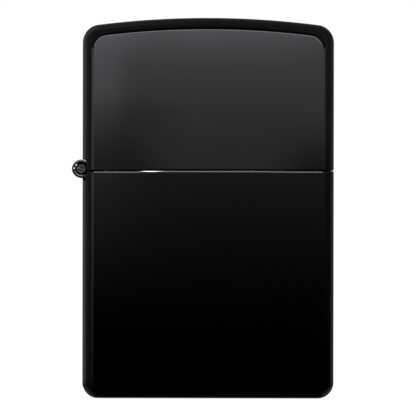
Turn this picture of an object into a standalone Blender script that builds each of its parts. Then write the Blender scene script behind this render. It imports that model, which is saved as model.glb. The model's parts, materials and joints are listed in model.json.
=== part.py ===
"""Flip-lid windproof petrol lighter, closed, as an assembly of its separate pieces.

The origin is the centre of the case's base. +Z is up, -Y is the front face and -X is the hinge side.
Dimensions are named in millimetres, and MM turns them into metres where a mesh is made.
Run with: blender --background --python part.py
"""

import math

import bmesh
import bpy
from mathutils import Matrix, Vector

MM = 0.001

# Outer shells
SHELL_W = 37.8
SHELL_D = 12.9
SHELL_H = 57.2
WALL = 0.6
SPLIT_Z = 34.2
SPLIT_GAP = 0.16
CROWN_R = 131.0
LID_CORNER_R = 2.7
CASE_CORNER_R = 2.4
EDGE_SIDE = 1.75  # how far the rounded edge of the front face reaches in from the side
EDGE_DEPTH = 2.2  # how far it reaches back from the front face
EDGE_TOP = 1.45
EDGE_BOTTOM = 0.7
EDGE_STEPS = 6
CORNER_STEPS = 5
CROWN_STEPS = 14
LEAST_R = 0.3

# Hinge: the axis runs along Y, a little outside the side wall and above the split
HINGE_X = -19.07
HINGE_Z = 34.46
LEAF_T = 0.52
KNUCKLE_R = 1.33
KNUCKLE_WRAP = math.radians(290)
KNUCKLE_STEPS = 14
KNUCKLES = 5
KNUCKLE_GAP = 0.12
BARREL_HALF = 5.5
PIN_R = 0.74
PIN_HALF = 5.45
PLATE_HALF = 4.2
PLATE_REACH = 8.2  # from the hinge axis to the far edge of a leaf
NOTCH_GAP = 0.12
TAB_GAP = 0.25  # between a leaf's plate and the other leaf's knuckles

# Insert: can, deck and chimney
CAN_X0 = -17.45
CAN_X1 = 17.95
CAN_HALF_D = 5.65
CAN_WALL = 0.4
CAN_R = 1.6
CAN_Z0 = 1.5
CAN_Z1 = 37.3
DECK_Z0 = 37.4
DECK_Z1 = 37.9
DECK_ROUND = 0.4
SEAT = 0.1  # gap between pieces that rest on each other

CHIMNEY_X = -0.2
CHIMNEY_HALF_W = 6.4
CHIMNEY_HALF_D = 5.1
CHIMNEY_R = 2.5
CHIMNEY_WALL = 0.45
CHIMNEY_Z1 = 54.0
VENT_R = 0.95
VENT_PITCH_X = 3.5
VENT_PITCH_Z = 4.1
VENT_MID_Z = 46.6
SPARK_HALF_D = 2.2
SPARK_Z0 = 42.5
SPARK_Z1 = 50.5

# Flint wheel and its ears
WHEEL_X = 10.2
WHEEL_Z = 46.4
WHEEL_R = 3.6
WHEEL_ROOT_R = 3.3
WHEEL_TEETH = 40
WHEEL_HALF = 2.3
WHEEL_EAR_R = 2.3
WHEEL_EAR_IN = 2.75
WHEEL_PIN_R = 0.8
WHEEL_HEAD_R = 1.3
EAR_T = 0.45

# Cam, its ears and its spring
CAM_X = -9.0
CAM_Z = 44.4
CAM_HUB_R = 1.9
CAM_HALF = 1.1
CAM_NOSE = (-7.4, -3.8)  # centre of the nose, from the pivot
CAM_NOSE_R = 0.9
CAM_FOOT_Z = -3.5
CAM_EAR_R = 1.7
CAM_EAR_IN = 1.35
CAM_PIN_R = 0.7
CAM_HEAD_R = 1.1
BORE_GAP = 0.07
HEAD_T = 0.45
SPRING_LEAF_T = 0.22
SPRING_LEAF_HALF = 1.2
SPRING_LEAF_X0 = -15.5
SPRING_RIVET_X = -14.3
SPRING_RIVET_R = 0.5
SPRING_RIVET_HEAD_R = 0.95

# Flint train, all on the axis below the wheel
TUBE_R = 1.95
TUBE_BORE_R = 1.4
TUBE_Z0 = 3.0
TUBE_Z1 = 41.6
FLINT_R = 1.25
FLINT_LEN = 4.75
FLINT_GAP = 0.15
PLUNGER_R = 1.15
PLUNGER_LEN = 3.9
STEM_R = 0.55
STEM_LEN = 2.3
COIL_R = 0.95
COIL_WIRE_R = 0.17
COIL_TURNS = 20
COIL_STEPS = 10
SCREW_HEAD_R = 2.5
SCREW_Z0 = 1.55
SCREW_HEAD_T = 1.2
SCREW_SHANK_R = 1.3
SCREW_SHANK_Z1 = 6.6
SLOT_W = 0.7
SLOT_DEEP = 0.6

# Wick, wadding and felt
WICK_X = 0.2
WICK_R = 1.25
WICK_TOP = 51.2
WICK_END = 7.5
WICK_SWING = 4.5
WICK_WAVE = 22.0
WICK_POINTS = 40
FELT_Z0 = 1.6
FELT_T = 2.2
FELT_HOLE_R = 2.85
FELT_INSET = 0.25
# centre x, centre z, half width, half height of each wad, which leave room for the wick's bends
WADS = (
    (-11.6, 33.2, 5.0, 3.4),
    (0.6, 26.3, 6.3, 4.6),
    (-11.0, 15.8, 5.6, 6.6),
    (3.0, 8.5, 4.9, 3.9),
    (14.9, 20.5, 2.3, 14.0),
)
WAD_HALF_D = 4.9

SHARP = math.radians(32)
ROUND_SIDES = 24

BLACK_GLOSS = ((0.003, 0.003, 0.003), 0.05, 0.0)
HINGE_BLACK = ((0.004, 0.004, 0.004), 0.12, 0.0)
PIN_STEEL = ((0.3, 0.3, 0.31), 0.35, 1.0)
STEEL = ((0.62, 0.62, 0.61), 0.3, 1.0)
CHROME = ((0.8, 0.8, 0.82), 0.12, 1.0)
SPRING_STEEL = ((0.45, 0.45, 0.46), 0.35, 1.0)
WHEEL_STEEL = ((0.3, 0.3, 0.31), 0.42, 1.0)
BRASS = ((0.75, 0.58, 0.28), 0.3, 1.0)
FLINT_GREY = ((0.16, 0.15, 0.15), 0.6, 0.4)
COTTON = ((0.85, 0.84, 0.8), 0.95, 0.0)
WICK_COTTON = ((0.8, 0.76, 0.68), 0.95, 0.0)
FELT = ((0.7, 0.7, 0.68), 0.98, 0.0)


def clear_scene():
    for obj in list(bpy.data.objects):
        bpy.data.objects.remove(obj, do_unlink=True)


def finish_material(name, finish):
    colour, roughness, metallic = finish
    material = bpy.data.materials.new(name)
    material.use_nodes = True
    shader = material.node_tree.nodes["Principled BSDF"]
    shader.inputs["Base Color"].default_value = (*colour, 1.0)
    shader.inputs["Roughness"].default_value = roughness
    shader.inputs["Metallic"].default_value = metallic
    return material


def add_object(name, bm, origin=(0.0, 0.0, 0.0)):
    """Object from a bmesh drawn in millimetres, with its own origin at the point given."""
    bm.transform(Matrix.Scale(MM, 4) @ Matrix.Translation(-Vector(origin)))
    bmesh.ops.recalc_face_normals(bm, faces=bm.faces)
    mesh = bpy.data.meshes.new(name)
    bm.to_mesh(mesh)
    bm.free()
    obj = bpy.data.objects.new(name, mesh)
    obj.location = Vector(origin) * MM
    bpy.context.collection.objects.link(obj)
    return obj


def add_piece(name, bm, finish, origin=(0.0, 0.0, 0.0)):
    obj = add_object(name, bm, origin)
    obj.data.shade_smooth()
    obj.data.set_sharp_from_angle(angle=SHARP)
    obj.data.materials.append(finish_material(name, finish))
    return obj


def combine(piece, name, bm, operation="DIFFERENCE"):
    """Boolean of a piece with a guide body that isn't built itself."""
    guide = add_object(name, bm)
    guide.hide_render = True
    guide.display_type = "WIRE"
    modifier = piece.modifiers.new(name, "BOOLEAN")
    modifier.operation = operation
    modifier.solver = "EXACT"
    modifier.object = guide


def loft(rings, closed=False):
    """Skin over rings of equal length. Closed joins the last ring to the first, or both ends are capped."""
    bm = bmesh.new()
    loops = [[bm.verts.new(point) for point in ring] for ring in rings]
    pairs = list(zip(loops, loops[1:]))
    if closed:
        pairs.append((loops[-1], loops[0]))
    for low, high in pairs:
        for i in range(len(low)):
            j = (i + 1) % len(low)
            bm.faces.new((low[i], low[j], high[j], high[i]))
    if not closed:
        bm.faces.new(loops[0])
        bm.faces.new(loops[-1])
    return bm


def arc(centre_x, centre_z, radius, start, end, steps):
    angles = [start + (end - start) * i / steps for i in range(steps + 1)]
    return [(centre_x + radius * math.cos(a), centre_z + radius * math.sin(a)) for a in angles]


def extrude_y(outline, y0, y1):
    return loft([[(x, y, z) for x, z in outline] for y in (y0, y1)])


def extrude_z(outline, z0, z1):
    return loft([[(x, y, z) for x, y in outline] for z in (z0, z1)])


def box(x0, x1, y0, y1, z0, z1):
    return extrude_z([(x0, y0), (x1, y0), (x1, y1), (x0, y1)], z0, z1)


def turned(steps, centre, axis="Z", bored=False, sides=ROUND_SIDES):
    """Body of revolution through (radius, height) steps. Bored means that the steps form a closed loop."""
    cx, cy = centre
    angles = [2 * math.pi * i / sides for i in range(sides)]
    rings = []
    for radius, height in steps:
        circle = [(cx + radius * math.cos(a), cy + radius * math.sin(a)) for a in angles]
        if axis == "Z":
            rings.append([(x, y, height) for x, y in circle])
        else:
            rings.append([(x, height, z) for x, z in circle])
    return loft(rings, closed=bored)


def rounded_plan(x0, x1, half_depth, radius, steps=CORNER_STEPS):
    """Plan outline of a rectangle with round corners, anticlockwise from above."""
    y = half_depth - radius
    quarter = math.pi / 2
    outline = []
    for turn, (cx, cy) in enumerate(((x1 - radius, y), (x0 + radius, y), (x0 + radius, -y), (x1 - radius, -y))):
        outline += arc(cx, cy, radius, turn * quarter, (turn + 1) * quarter, steps)
    return outline


def tube_plan(x0, x1, half_depth, radius, wall, z0, z1, steps=CORNER_STEPS):
    """Open tube with a rounded rectangular plan."""
    outer = rounded_plan(x0, x1, half_depth, radius, steps)
    inner = rounded_plan(x0 + wall, x1 - wall, half_depth - wall, radius - wall, steps)
    rings = [(outer, z0), (outer, z1), (inner, z1), (inner, z0)]
    return loft([[(x, y, z) for x, y in plan] for plan, z in rings], closed=True)


def lid_outline(side, top, z_rim):
    """Front view of the lid: up the right side, over the arched crown and down the left side."""
    half = SHELL_W / 2 - side
    crown_r = CROWN_R - top
    crown_z = SHELL_H - CROWN_R
    corner_r = max(LID_CORNER_R - (side + top) / 2, LEAST_R)
    x = half - corner_r
    z = crown_z + math.sqrt((crown_r - corner_r) ** 2 - x**2)
    lean = math.atan2(z - crown_z, x)
    outline = [(half, z_rim)]
    outline += arc(x, z, corner_r, 0, lean, CORNER_STEPS)
    outline += arc(0, crown_z, crown_r, lean, math.pi - lean, CROWN_STEPS)[1:-1]
    outline += arc(-x, z, corner_r, math.pi - lean, math.pi, CORNER_STEPS)
    outline.append((-half, z_rim))
    return outline


def case_outline(side, bottom, z_rim):
    """Front view of the case: down the left side, along the base and up the right side."""
    half = SHELL_W / 2 - side
    corner_r = max(CASE_CORNER_R - (side + bottom) / 2, LEAST_R)
    x = half - corner_r
    z = bottom + corner_r
    outline = [(-half, z_rim)]
    outline += arc(-x, z, corner_r, math.pi, 1.5 * math.pi, CORNER_STEPS)
    outline += arc(x, z, corner_r, 1.5 * math.pi, 2 * math.pi, CORNER_STEPS)
    outline.append((half, z_rim))
    return outline


def shell_solid(outline, end_edge, inset, z_rim):
    """Solid with the front outline given and rounded front and back edges, inset all round."""
    rings = []
    turns = [math.pi / 2 * i / EDGE_STEPS for i in range(EDGE_STEPS + 1)]
    for turn in turns:
        tuck = 1 - math.sin(turn)
        side = inset + max(EDGE_SIDE - inset, 0) * tuck
        end = inset + max(end_edge - inset, 0) * tuck
        y = SHELL_D / 2 - inset - (EDGE_DEPTH - inset) * (1 - math.cos(turn))
        rings.append([(x, -y, z) for x, z in outline(side, end, z_rim)])
    rings += [[(x, -y, z) for x, y, z in ring] for ring in reversed(rings)]
    return loft(rings)


def notch(z0, z1):
    """Room for the hinge barrel in the side wall."""
    half = BARREL_HALF + NOTCH_GAP
    return box(HINGE_X - 2 * KNUCKLE_R, CAN_X0 - SEAT, -half, half, z0, z1)


def lower_case():
    rim = SPLIT_Z - SPLIT_GAP / 2
    piece = add_piece("lower_case", shell_solid(case_outline, EDGE_BOTTOM, 0, rim), BLACK_GLOSS)
    combine(piece, "case_hollow", shell_solid(case_outline, EDGE_BOTTOM, WALL, rim + WALL))
    combine(piece, "case_notch", notch(HINGE_Z - KNUCKLE_R - NOTCH_GAP, rim + WALL))


def lid():
    rim = SPLIT_Z + SPLIT_GAP / 2
    origin = (HINGE_X, 0, HINGE_Z)
    piece = add_piece("lid", shell_solid(lid_outline, EDGE_TOP, 0, rim), BLACK_GLOSS, origin)
    combine(piece, "lid_hollow", shell_solid(lid_outline, EDGE_TOP, WALL, rim - WALL))
    combine(piece, "lid_notch", notch(rim - WALL, HINGE_Z + KNUCKLE_R + NOTCH_GAP))


def knuckle_spans():
    width = (2 * BARREL_HALF - (KNUCKLES - 1) * KNUCKLE_GAP) / KNUCKLES
    starts = [-BARREL_HALF + i * (width + KNUCKLE_GAP) for i in range(KNUCKLES)]
    return [(start, start + width) for start in starts]


def hinge_leaf(name, up, own, origin):
    """Leaf bent from one sheet: a plate inside the wall, and tabs that curl round the pin.

    up is 1 where the plate lies below the axis and the tabs run up to it, and -1 for the other leaf.
    own lists the knuckles that belong to this leaf.
    """
    bend_r = KNUCKLE_R - LEAF_T / 2
    slot = KNUCKLE_R + TAB_GAP
    widen = KNUCKLE_R + NOTCH_GAP / 2 - LEAF_T / 2
    path = [(HINGE_X + bend_r, HINGE_Z - up * drop) for drop in (PLATE_REACH, slot, widen)]
    path += [(x, HINGE_Z + up * z) for x, z in arc(HINGE_X, 0, bend_r, 0, KNUCKLE_WRAP, KNUCKLE_STEPS)]
    spans = knuckle_spans()
    columns = sorted([y for span in spans for y in span] + [-PLATE_HALF, PLATE_HALF])
    bm = bmesh.new()
    corners = {}

    def corner(row, column):
        if (row, column) not in corners:
            x, z = path[row]
            corners[row, column] = bm.verts.new((x, columns[column], z))
        return corners[row, column]

    for row in range(len(path) - 1):
        for column in range(len(columns) - 1):
            middle = (columns[column] + columns[column + 1]) / 2
            on_plate = abs(middle) < PLATE_HALF
            on_tab = any(spans[i][0] < middle < spans[i][1] for i in own)
            wanted = (on_plate, on_plate and on_tab, on_tab)[min(row, 2)]
            if wanted:
                around = ((0, 0), (0, 1), (1, 1), (1, 0))
                bm.faces.new([corner(row + r, column + c) for r, c in around])
    piece = add_piece(name, bm, HINGE_BLACK, origin)
    sheet = piece.modifiers.new("sheet_thickness", "SOLIDIFY")
    sheet.thickness = LEAF_T * MM
    sheet.offset = 0
    sheet.use_even_offset = True


def hinge():
    hinge_leaf("hinge_leaf_lower", 1, (0, 2, 4), (0, 0, 0))
    hinge_leaf("hinge_leaf_upper", -1, (1, 3), (HINGE_X, 0, HINGE_Z))
    pin = turned([(PIN_R, -PIN_HALF), (PIN_R, PIN_HALF)], (HINGE_X, HINGE_Z), "Y")
    add_piece("hinge_pin", pin, PIN_STEEL)


def insert_shells():
    can = tube_plan(CAN_X0, CAN_X1, CAN_HALF_D, CAN_R, CAN_WALL, CAN_Z0, CAN_Z1)
    add_piece("insert_can", can, STEEL)
    rings = [[(x, y, DECK_Z0) for x, y in rounded_plan(CAN_X0, CAN_X1, CAN_HALF_D, CAN_R)]]
    for turn in (0, math.pi / 4, math.pi / 2):
        tuck = DECK_ROUND * (1 - math.cos(turn))
        z = DECK_Z1 - DECK_ROUND * (1 - math.sin(turn))
        plan = rounded_plan(CAN_X0 + tuck, CAN_X1 - tuck, CAN_HALF_D - tuck, CAN_R - tuck)
        rings.append([(x, y, z) for x, y in plan])
    deck = add_piece("insert_deck", loft(rings), STEEL)
    span = [DECK_Z0 - WALL, DECK_Z1 + WALL]
    combine(deck, "wick_hole", turned([(WICK_R + 0.3, z) for z in span], (WICK_X, 0)))
    combine(deck, "tube_hole", turned([(TUBE_R + SEAT, z) for z in span], (WHEEL_X, 0)))
    combine(deck, "rivet_hole", turned([(SPRING_RIVET_R + SEAT, z) for z in span], (SPRING_RIVET_X, 0)))


def ear(root_x, root_z0, root_z1, pivot, radius, y0, y1):
    """Flat lug from the chimney's end wall, with a round end about the pivot."""
    px, pz = pivot
    sweep = math.pi / 2 if px > root_x else -math.pi / 2
    outline = [(root_x, root_z0)]
    outline += arc(px, pz, radius, -math.pi / 2, -math.pi / 2 + 2 * sweep, 2 * CORNER_STEPS)
    outline.append((root_x, root_z1))
    return extrude_y(outline, y0, y1)


def chimney():
    x0 = CHIMNEY_X - CHIMNEY_HALF_W
    x1 = CHIMNEY_X + CHIMNEY_HALF_W
    base = DECK_Z1 + SEAT
    wall = tube_plan(x0, x1, CHIMNEY_HALF_D, CHIMNEY_R, CHIMNEY_WALL, base, CHIMNEY_Z1)
    piece = add_piece("chimney", wall, STEEL)
    middle = CHIMNEY_WALL / 2
    for side in (-1, 1):
        wheel_ys = sorted((side * WHEEL_EAR_IN, side * (WHEEL_EAR_IN + EAR_T)))
        lug = ear(x1 - middle, WHEEL_Z - 5, WHEEL_Z + 4, (WHEEL_X, WHEEL_Z), WHEEL_EAR_R, *wheel_ys)
        combine(piece, f"wheel_ear_{side}", lug, "UNION")
        cam_ys = sorted((side * CAM_EAR_IN, side * (CAM_EAR_IN + EAR_T)))
        lug = ear(x0 + middle, CAM_Z - 3.5, CAM_Z + 3, (CAM_X, CAM_Z), CAM_EAR_R, *cam_ys)
        combine(piece, f"cam_ear_{side}", lug, "UNION")
    reach = [-SHELL_D / 2, SHELL_D / 2]
    for column in (-1, 0, 1):
        for row in (-1, 1) if column == 0 else (-2, 0, 2):
            centre = (CHIMNEY_X + column * VENT_PITCH_X, VENT_MID_Z + row * VENT_PITCH_Z / 2)
            vent = turned([(VENT_R, y) for y in reach], centre, "Y", sides=16)
            combine(piece, f"vent_{column}_{row}", vent)
    bores = (("wheel", WHEEL_X, WHEEL_Z, WHEEL_PIN_R), ("cam", CAM_X, CAM_Z, CAM_PIN_R))
    for name, x, z, radius in bores:
        bore = turned([(radius + BORE_GAP, y) for y in reach], (x, z), "Y")
        combine(piece, f"{name}_bore", bore)
    window = box(x1 - 2 * CHIMNEY_WALL, x1 + CHIMNEY_WALL, -SPARK_HALF_D, SPARK_HALF_D, SPARK_Z0, SPARK_Z1)
    combine(piece, "spark_window", window)


def rivet(name, x, z, radius, head_r, ear_outside):
    """Rivet along Y, with a head outside each ear."""
    inside = ear_outside + SEAT / 2
    half = inside + HEAD_T
    steps = [(head_r * 0.8, half), (head_r, half - HEAD_T / 2), (head_r, inside), (radius, inside)]
    steps = [(r, -y) for r, y in steps] + [(r, y) for r, y in reversed(steps)]
    add_piece(name, turned(steps, (x, z), "Y"), CHROME)


def flint_wheel():
    outer = []
    bore = []
    count = 2 * WHEEL_TEETH
    for i in range(count):
        angle = 2 * math.pi * i / count
        radius = WHEEL_ROOT_R if i % 2 else WHEEL_R
        outer.append((WHEEL_X + radius * math.cos(angle), WHEEL_Z + radius * math.sin(angle)))
        inner = WHEEL_PIN_R + BORE_GAP
        bore.append((WHEEL_X + inner * math.cos(angle), WHEEL_Z + inner * math.sin(angle)))
    sections = ((outer, -WHEEL_HALF), (outer, WHEEL_HALF), (bore, WHEEL_HALF), (bore, -WHEEL_HALF))
    rings = [[(x, y, z) for x, z in outline] for outline, y in sections]
    add_piece("flint_wheel", loft(rings, closed=True), WHEEL_STEEL, (WHEEL_X, 0, WHEEL_Z))
    rivet("wheel_rivet", WHEEL_X, WHEEL_Z, WHEEL_PIN_R, WHEEL_HEAD_R, WHEEL_EAR_IN + EAR_T)


def cam():
    """Rocking cam: hub on the rivet, nose towards the hinge, flat foot on the leaf spring."""
    nose_x, nose_z = CAM_NOSE
    outline = arc(0, 0, CAM_HUB_R, math.radians(-20), math.radians(118), 8)
    outline += arc(nose_x, nose_z, CAM_NOSE_R, math.radians(125), math.radians(300), 8)
    outline += [(-5.2, -2.6), (-3.6, -2.5), (-2.6, CAM_FOOT_Z), (0.7, CAM_FOOT_Z), (1.5, -2.2)]
    outline = [(CAM_X + x, CAM_Z + z) for x, z in outline]
    origin = (CAM_X, 0, CAM_Z)
    piece = add_piece("cam", extrude_y(outline, -CAM_HALF, CAM_HALF), SPRING_STEEL, origin)
    reach = [-CAM_HALF - WALL, CAM_HALF + WALL]
    combine(piece, "cam_pivot_hole", turned([(CAM_PIN_R + BORE_GAP, y) for y in reach], (CAM_X, CAM_Z), "Y"))
    rivet("cam_rivet", CAM_X, CAM_Z, CAM_PIN_R, CAM_HEAD_R, CAM_EAR_IN + EAR_T)


def cam_spring():
    """Leaf spring: flat where it is riveted down, then up to a flat end under the cam's foot."""
    low = DECK_Z1 + SEAT + SPRING_LEAF_T / 2
    high = CAM_Z + CAM_FOOT_Z - SEAT - SPRING_LEAF_T / 2
    bend_x0 = SPRING_RIVET_X + 1.4
    bend_x1 = CAM_X - 1.6
    path = [(SPRING_LEAF_X0, low)]
    for i in range(9):
        share = i / 8
        rise = (1 - math.cos(math.pi * share)) / 2
        path.append((bend_x0 + (bend_x1 - bend_x0) * share, low + (high - low) * rise))
    path.append((CHIMNEY_X - CHIMNEY_HALF_W - WALL, high))
    bm = bmesh.new()
    edges = (-SPRING_LEAF_HALF, SPRING_LEAF_HALF)
    rows = [[bm.verts.new((x, y, z)) for y in edges] for x, z in path]
    for a, b in zip(rows, rows[1:]):
        bm.faces.new((a[0], b[0], b[1], a[1]))
    piece = add_piece("cam_spring", bm, SPRING_STEEL)
    sheet = piece.modifiers.new("sheet_thickness", "SOLIDIFY")
    sheet.thickness = SPRING_LEAF_T * MM
    sheet.offset = 0
    sheet.use_even_offset = True
    span = [low - WALL, low + WALL]
    hole = turned([(SPRING_RIVET_R + SEAT, z) for z in span], (SPRING_RIVET_X, 0))
    combine(piece, "cam_spring_hole", hole)
    head = low + SPRING_LEAF_T / 2 + SEAT / 2
    under = DECK_Z0 - SEAT
    steps = [
        (SPRING_RIVET_HEAD_R * 0.8, under - HEAD_T),
        (SPRING_RIVET_HEAD_R, under),
        (SPRING_RIVET_R, under),
        (SPRING_RIVET_R, head),
        (SPRING_RIVET_HEAD_R, head),
        (SPRING_RIVET_HEAD_R * 0.8, head + HEAD_T),
    ]
    add_piece("cam_spring_rivet", turned(steps, (SPRING_RIVET_X, 0)), CHROME)


def flint_train():
    axis = (WHEEL_X, 0)
    loop = [(TUBE_R, TUBE_Z0), (TUBE_R, TUBE_Z1), (TUBE_BORE_R, TUBE_Z1), (TUBE_BORE_R, TUBE_Z0)]
    add_piece("flint_tube", turned(loop, axis, bored=True), BRASS)

    flint_top = WHEEL_Z - WHEEL_R - FLINT_GAP
    flint_base = flint_top - FLINT_LEN
    origin = (WHEEL_X, 0, flint_base)
    add_piece("flint", turned([(FLINT_R, flint_base), (FLINT_R, flint_top)], axis), FLINT_GREY, origin)

    plunger_top = flint_base - SEAT
    shoulder = plunger_top - PLUNGER_LEN
    steps = [
        (STEM_R, shoulder - STEM_LEN),
        (STEM_R, shoulder),
        (PLUNGER_R, shoulder),
        (PLUNGER_R, plunger_top - 0.3),
        (PLUNGER_R - 0.3, plunger_top),
    ]
    add_piece("spring_plunger", turned(steps, axis), BRASS, origin)

    head_top = SCREW_Z0 + SCREW_HEAD_T
    steps = [
        (SCREW_HEAD_R - 0.2, SCREW_Z0),
        (SCREW_HEAD_R, SCREW_Z0 + 0.2),
        (SCREW_HEAD_R, head_top),
        (SCREW_SHANK_R, head_top),
        (SCREW_SHANK_R, SCREW_SHANK_Z1),
        (STEM_R, SCREW_SHANK_Z1),
        (STEM_R, SCREW_SHANK_Z1 + STEM_LEN),
    ]
    screw = add_piece("spring_screw", turned(steps, axis), BRASS)
    reach = SCREW_HEAD_R + WALL
    slot_x = (WHEEL_X - SLOT_W / 2, WHEEL_X + SLOT_W / 2)
    combine(screw, "screw_slot", box(*slot_x, -reach, reach, SCREW_Z0 - WALL, SCREW_Z0 + SLOT_DEEP))

    coil_z0 = SCREW_SHANK_Z1 + SEAT + COIL_WIRE_R
    coil_z1 = shoulder - SEAT - COIL_WIRE_R
    points = []
    for i in range(COIL_TURNS * COIL_STEPS + 1):
        angle = 2 * math.pi * i / COIL_STEPS
        z = coil_z0 + (coil_z1 - coil_z0) * i / (COIL_TURNS * COIL_STEPS)
        points.append((WHEEL_X + COIL_R * math.cos(angle), COIL_R * math.sin(angle), z))
    round_cord("flint_spring", points, COIL_WIRE_R, SPRING_STEEL, resolution=1)


def round_cord(name, points, radius, finish, resolution=2):
    """Round wire or cord along a list of points, with closed ends."""
    curve = bpy.data.curves.new(name, "CURVE")
    curve.dimensions = "3D"
    curve.bevel_depth = radius * MM
    curve.bevel_resolution = resolution
    curve.use_fill_caps = True
    spline = curve.splines.new("POLY")
    spline.points.add(len(points) - 1)
    for slot, point in zip(spline.points, points):
        slot.co = (*(Vector(point) * MM), 1.0)
    curve.materials.append(finish_material(name, finish))
    obj = bpy.data.objects.new(name, curve)
    bpy.context.collection.objects.link(obj)


def wick():
    """Up the chimney from the deck's hole, and in long bends down through the wadding."""
    points = [(WICK_X, 0, WICK_TOP), (WICK_X, 0, DECK_Z1)]
    for i in range(WICK_POINTS + 1):
        z = DECK_Z0 - SEAT - (DECK_Z0 - SEAT - WICK_END) * i / WICK_POINTS
        swing = 1 - math.cos(2 * math.pi * (DECK_Z0 - SEAT - z) / WICK_WAVE)
        points.append((WICK_X - WICK_SWING * swing, 0, z))
    round_cord("wick", points, WICK_R, WICK_COTTON)


def wadding():
    for number, (x, z, half_w, half_h) in enumerate(WADS, start=1):
        bm = bmesh.new()
        bmesh.ops.create_uvsphere(bm, u_segments=16, v_segments=10, radius=1)
        bm.transform(Matrix.Translation((x, 0, z)) @ Matrix.Diagonal((half_w, WAD_HALF_D, half_h, 1)))
        add_piece(f"cotton_{number}", bm, COTTON)
    x0 = CAN_X0 + CAN_WALL + FELT_INSET
    x1 = CAN_X1 - CAN_WALL - FELT_INSET
    plan = rounded_plan(x0, x1, CAN_HALF_D - CAN_WALL - FELT_INSET, CAN_R - CAN_WALL)
    pad = add_piece("felt_pad", extrude_z(plan, FELT_Z0, FELT_Z0 + FELT_T), FELT)
    span = [FELT_Z0 - WALL, FELT_Z0 + FELT_T + WALL]
    combine(pad, "felt_hole", turned([(FELT_HOLE_R, z) for z in span], (WHEEL_X, 0)))


def main():
    clear_scene()
    lower_case()
    lid()
    hinge()
    insert_shells()
    chimney()
    flint_wheel()
    cam()
    cam_spring()
    flint_train()
    wick()
    wadding()


main()
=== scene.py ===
import json
import math

import bmesh
import bpy
from mathutils import Matrix, Vector, noise


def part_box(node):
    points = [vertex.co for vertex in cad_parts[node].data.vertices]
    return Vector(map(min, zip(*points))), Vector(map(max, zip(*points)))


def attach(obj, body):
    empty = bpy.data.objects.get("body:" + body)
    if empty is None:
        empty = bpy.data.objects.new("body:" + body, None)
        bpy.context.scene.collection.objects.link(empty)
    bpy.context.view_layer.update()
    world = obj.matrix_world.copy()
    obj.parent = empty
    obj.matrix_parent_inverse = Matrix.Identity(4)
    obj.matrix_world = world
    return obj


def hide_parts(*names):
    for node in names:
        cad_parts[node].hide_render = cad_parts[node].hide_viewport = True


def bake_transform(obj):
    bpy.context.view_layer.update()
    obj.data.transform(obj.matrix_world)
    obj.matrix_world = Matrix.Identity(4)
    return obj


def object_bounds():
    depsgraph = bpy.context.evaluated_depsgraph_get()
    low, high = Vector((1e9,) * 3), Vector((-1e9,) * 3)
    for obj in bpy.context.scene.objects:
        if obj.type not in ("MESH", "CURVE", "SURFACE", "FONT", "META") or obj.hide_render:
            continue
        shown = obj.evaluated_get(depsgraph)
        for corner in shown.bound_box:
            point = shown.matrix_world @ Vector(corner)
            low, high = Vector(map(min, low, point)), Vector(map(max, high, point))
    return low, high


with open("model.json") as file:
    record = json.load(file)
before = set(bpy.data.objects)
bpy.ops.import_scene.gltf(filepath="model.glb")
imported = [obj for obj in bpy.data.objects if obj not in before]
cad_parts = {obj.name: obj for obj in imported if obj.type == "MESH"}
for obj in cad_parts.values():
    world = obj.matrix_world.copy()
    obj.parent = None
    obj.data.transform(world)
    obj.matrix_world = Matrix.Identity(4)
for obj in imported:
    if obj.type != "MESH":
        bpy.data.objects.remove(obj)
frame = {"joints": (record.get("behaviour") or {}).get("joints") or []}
CAD_LOW, CAD_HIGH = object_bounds()

# Looks of a closed flip-lid lighter in gloss black. Sizes are in millimetres, and MM turns them into metres.
# The origin is the centre of the base, -Y is the front face and -X is the hinge side.
MM = 0.001


def node_box(node):
    """Lowest and highest corner of a CAD node in millimetres."""
    low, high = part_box(node)
    return low / MM, high / MM


def joint_point(name):
    """Point on a joint's axis in millimetres."""
    joint = next(j for j in frame["joints"] if j["name"] == name)
    return Vector(joint["pos_m"]) / MM


# Shells, from the CAD boxes
_, CASE_HIGH = node_box("lower_case")
LID_LOW, LID_HIGH = node_box("lid")
HALF_W = CASE_HIGH.x
HALF_D = CASE_HIGH.y
CASE_RIM = CASE_HIGH.z
LID_RIM = LID_LOW.z
LID_TOP = LID_HIGH.z
WALL = 0.6
CROWN_R = 131.0
LID_CORNER_R = 2.7
CASE_CORNER_R = 2.4
LEAST_CORNER_R = 0.4
LID_SHRINK = 0.6  # how much smaller the corners' radius is at the crease than at the outside
CASE_SHRINK = 1.8
EDGE_SIDE = 1.73  # from the side to the crease round the flat face
EDGE_TOP = 1.9
EDGE_BOTTOM = 0.4
EDGE_DEPTH = 2.54  # from the flat face to where the side is straight
EDGE_TURN = math.radians(68.5)  # how far the rounded edge turns before it meets the flat face at the crease
CREASE_R = 0.3
LID_LEAN = math.radians(0.35)  # the lid's faces lean back a little
# and turn down again towards the rim's corners: how far, from which x to which, over which heights it ends
LID_DIPS = {-1: (math.radians(0.52), 2.0, 13.5, 7.0, 11.5), 1: (math.radians(0.4), 5.5, 16.5, 3.5, 8.0)}
FLAT_MARGIN = 0.0005
INNER_RIM_R = 0.08
RIM_HOLD = 0.03  # a row of points this far from a rim keeps its rounding sharp
# Rims: height, radius where the rounding begins, the turn where the second radius takes over, and that radius
CASE_EDGE = (CASE_RIM + 0.05, 0.5, math.radians(18), 0.07)
LID_EDGE = (LID_RIM - 0.08, 0.02, math.radians(28), 0.42)
SAG_LEFT = (0.11, 9.8, 10.8)  # both rims run this much lower, reached between these distances from the middle
SAG_RIGHT = (0.05, 7.0, 12.0)
SAG_REACH = 1.2  # from the rim to where the sag has faded out

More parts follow.
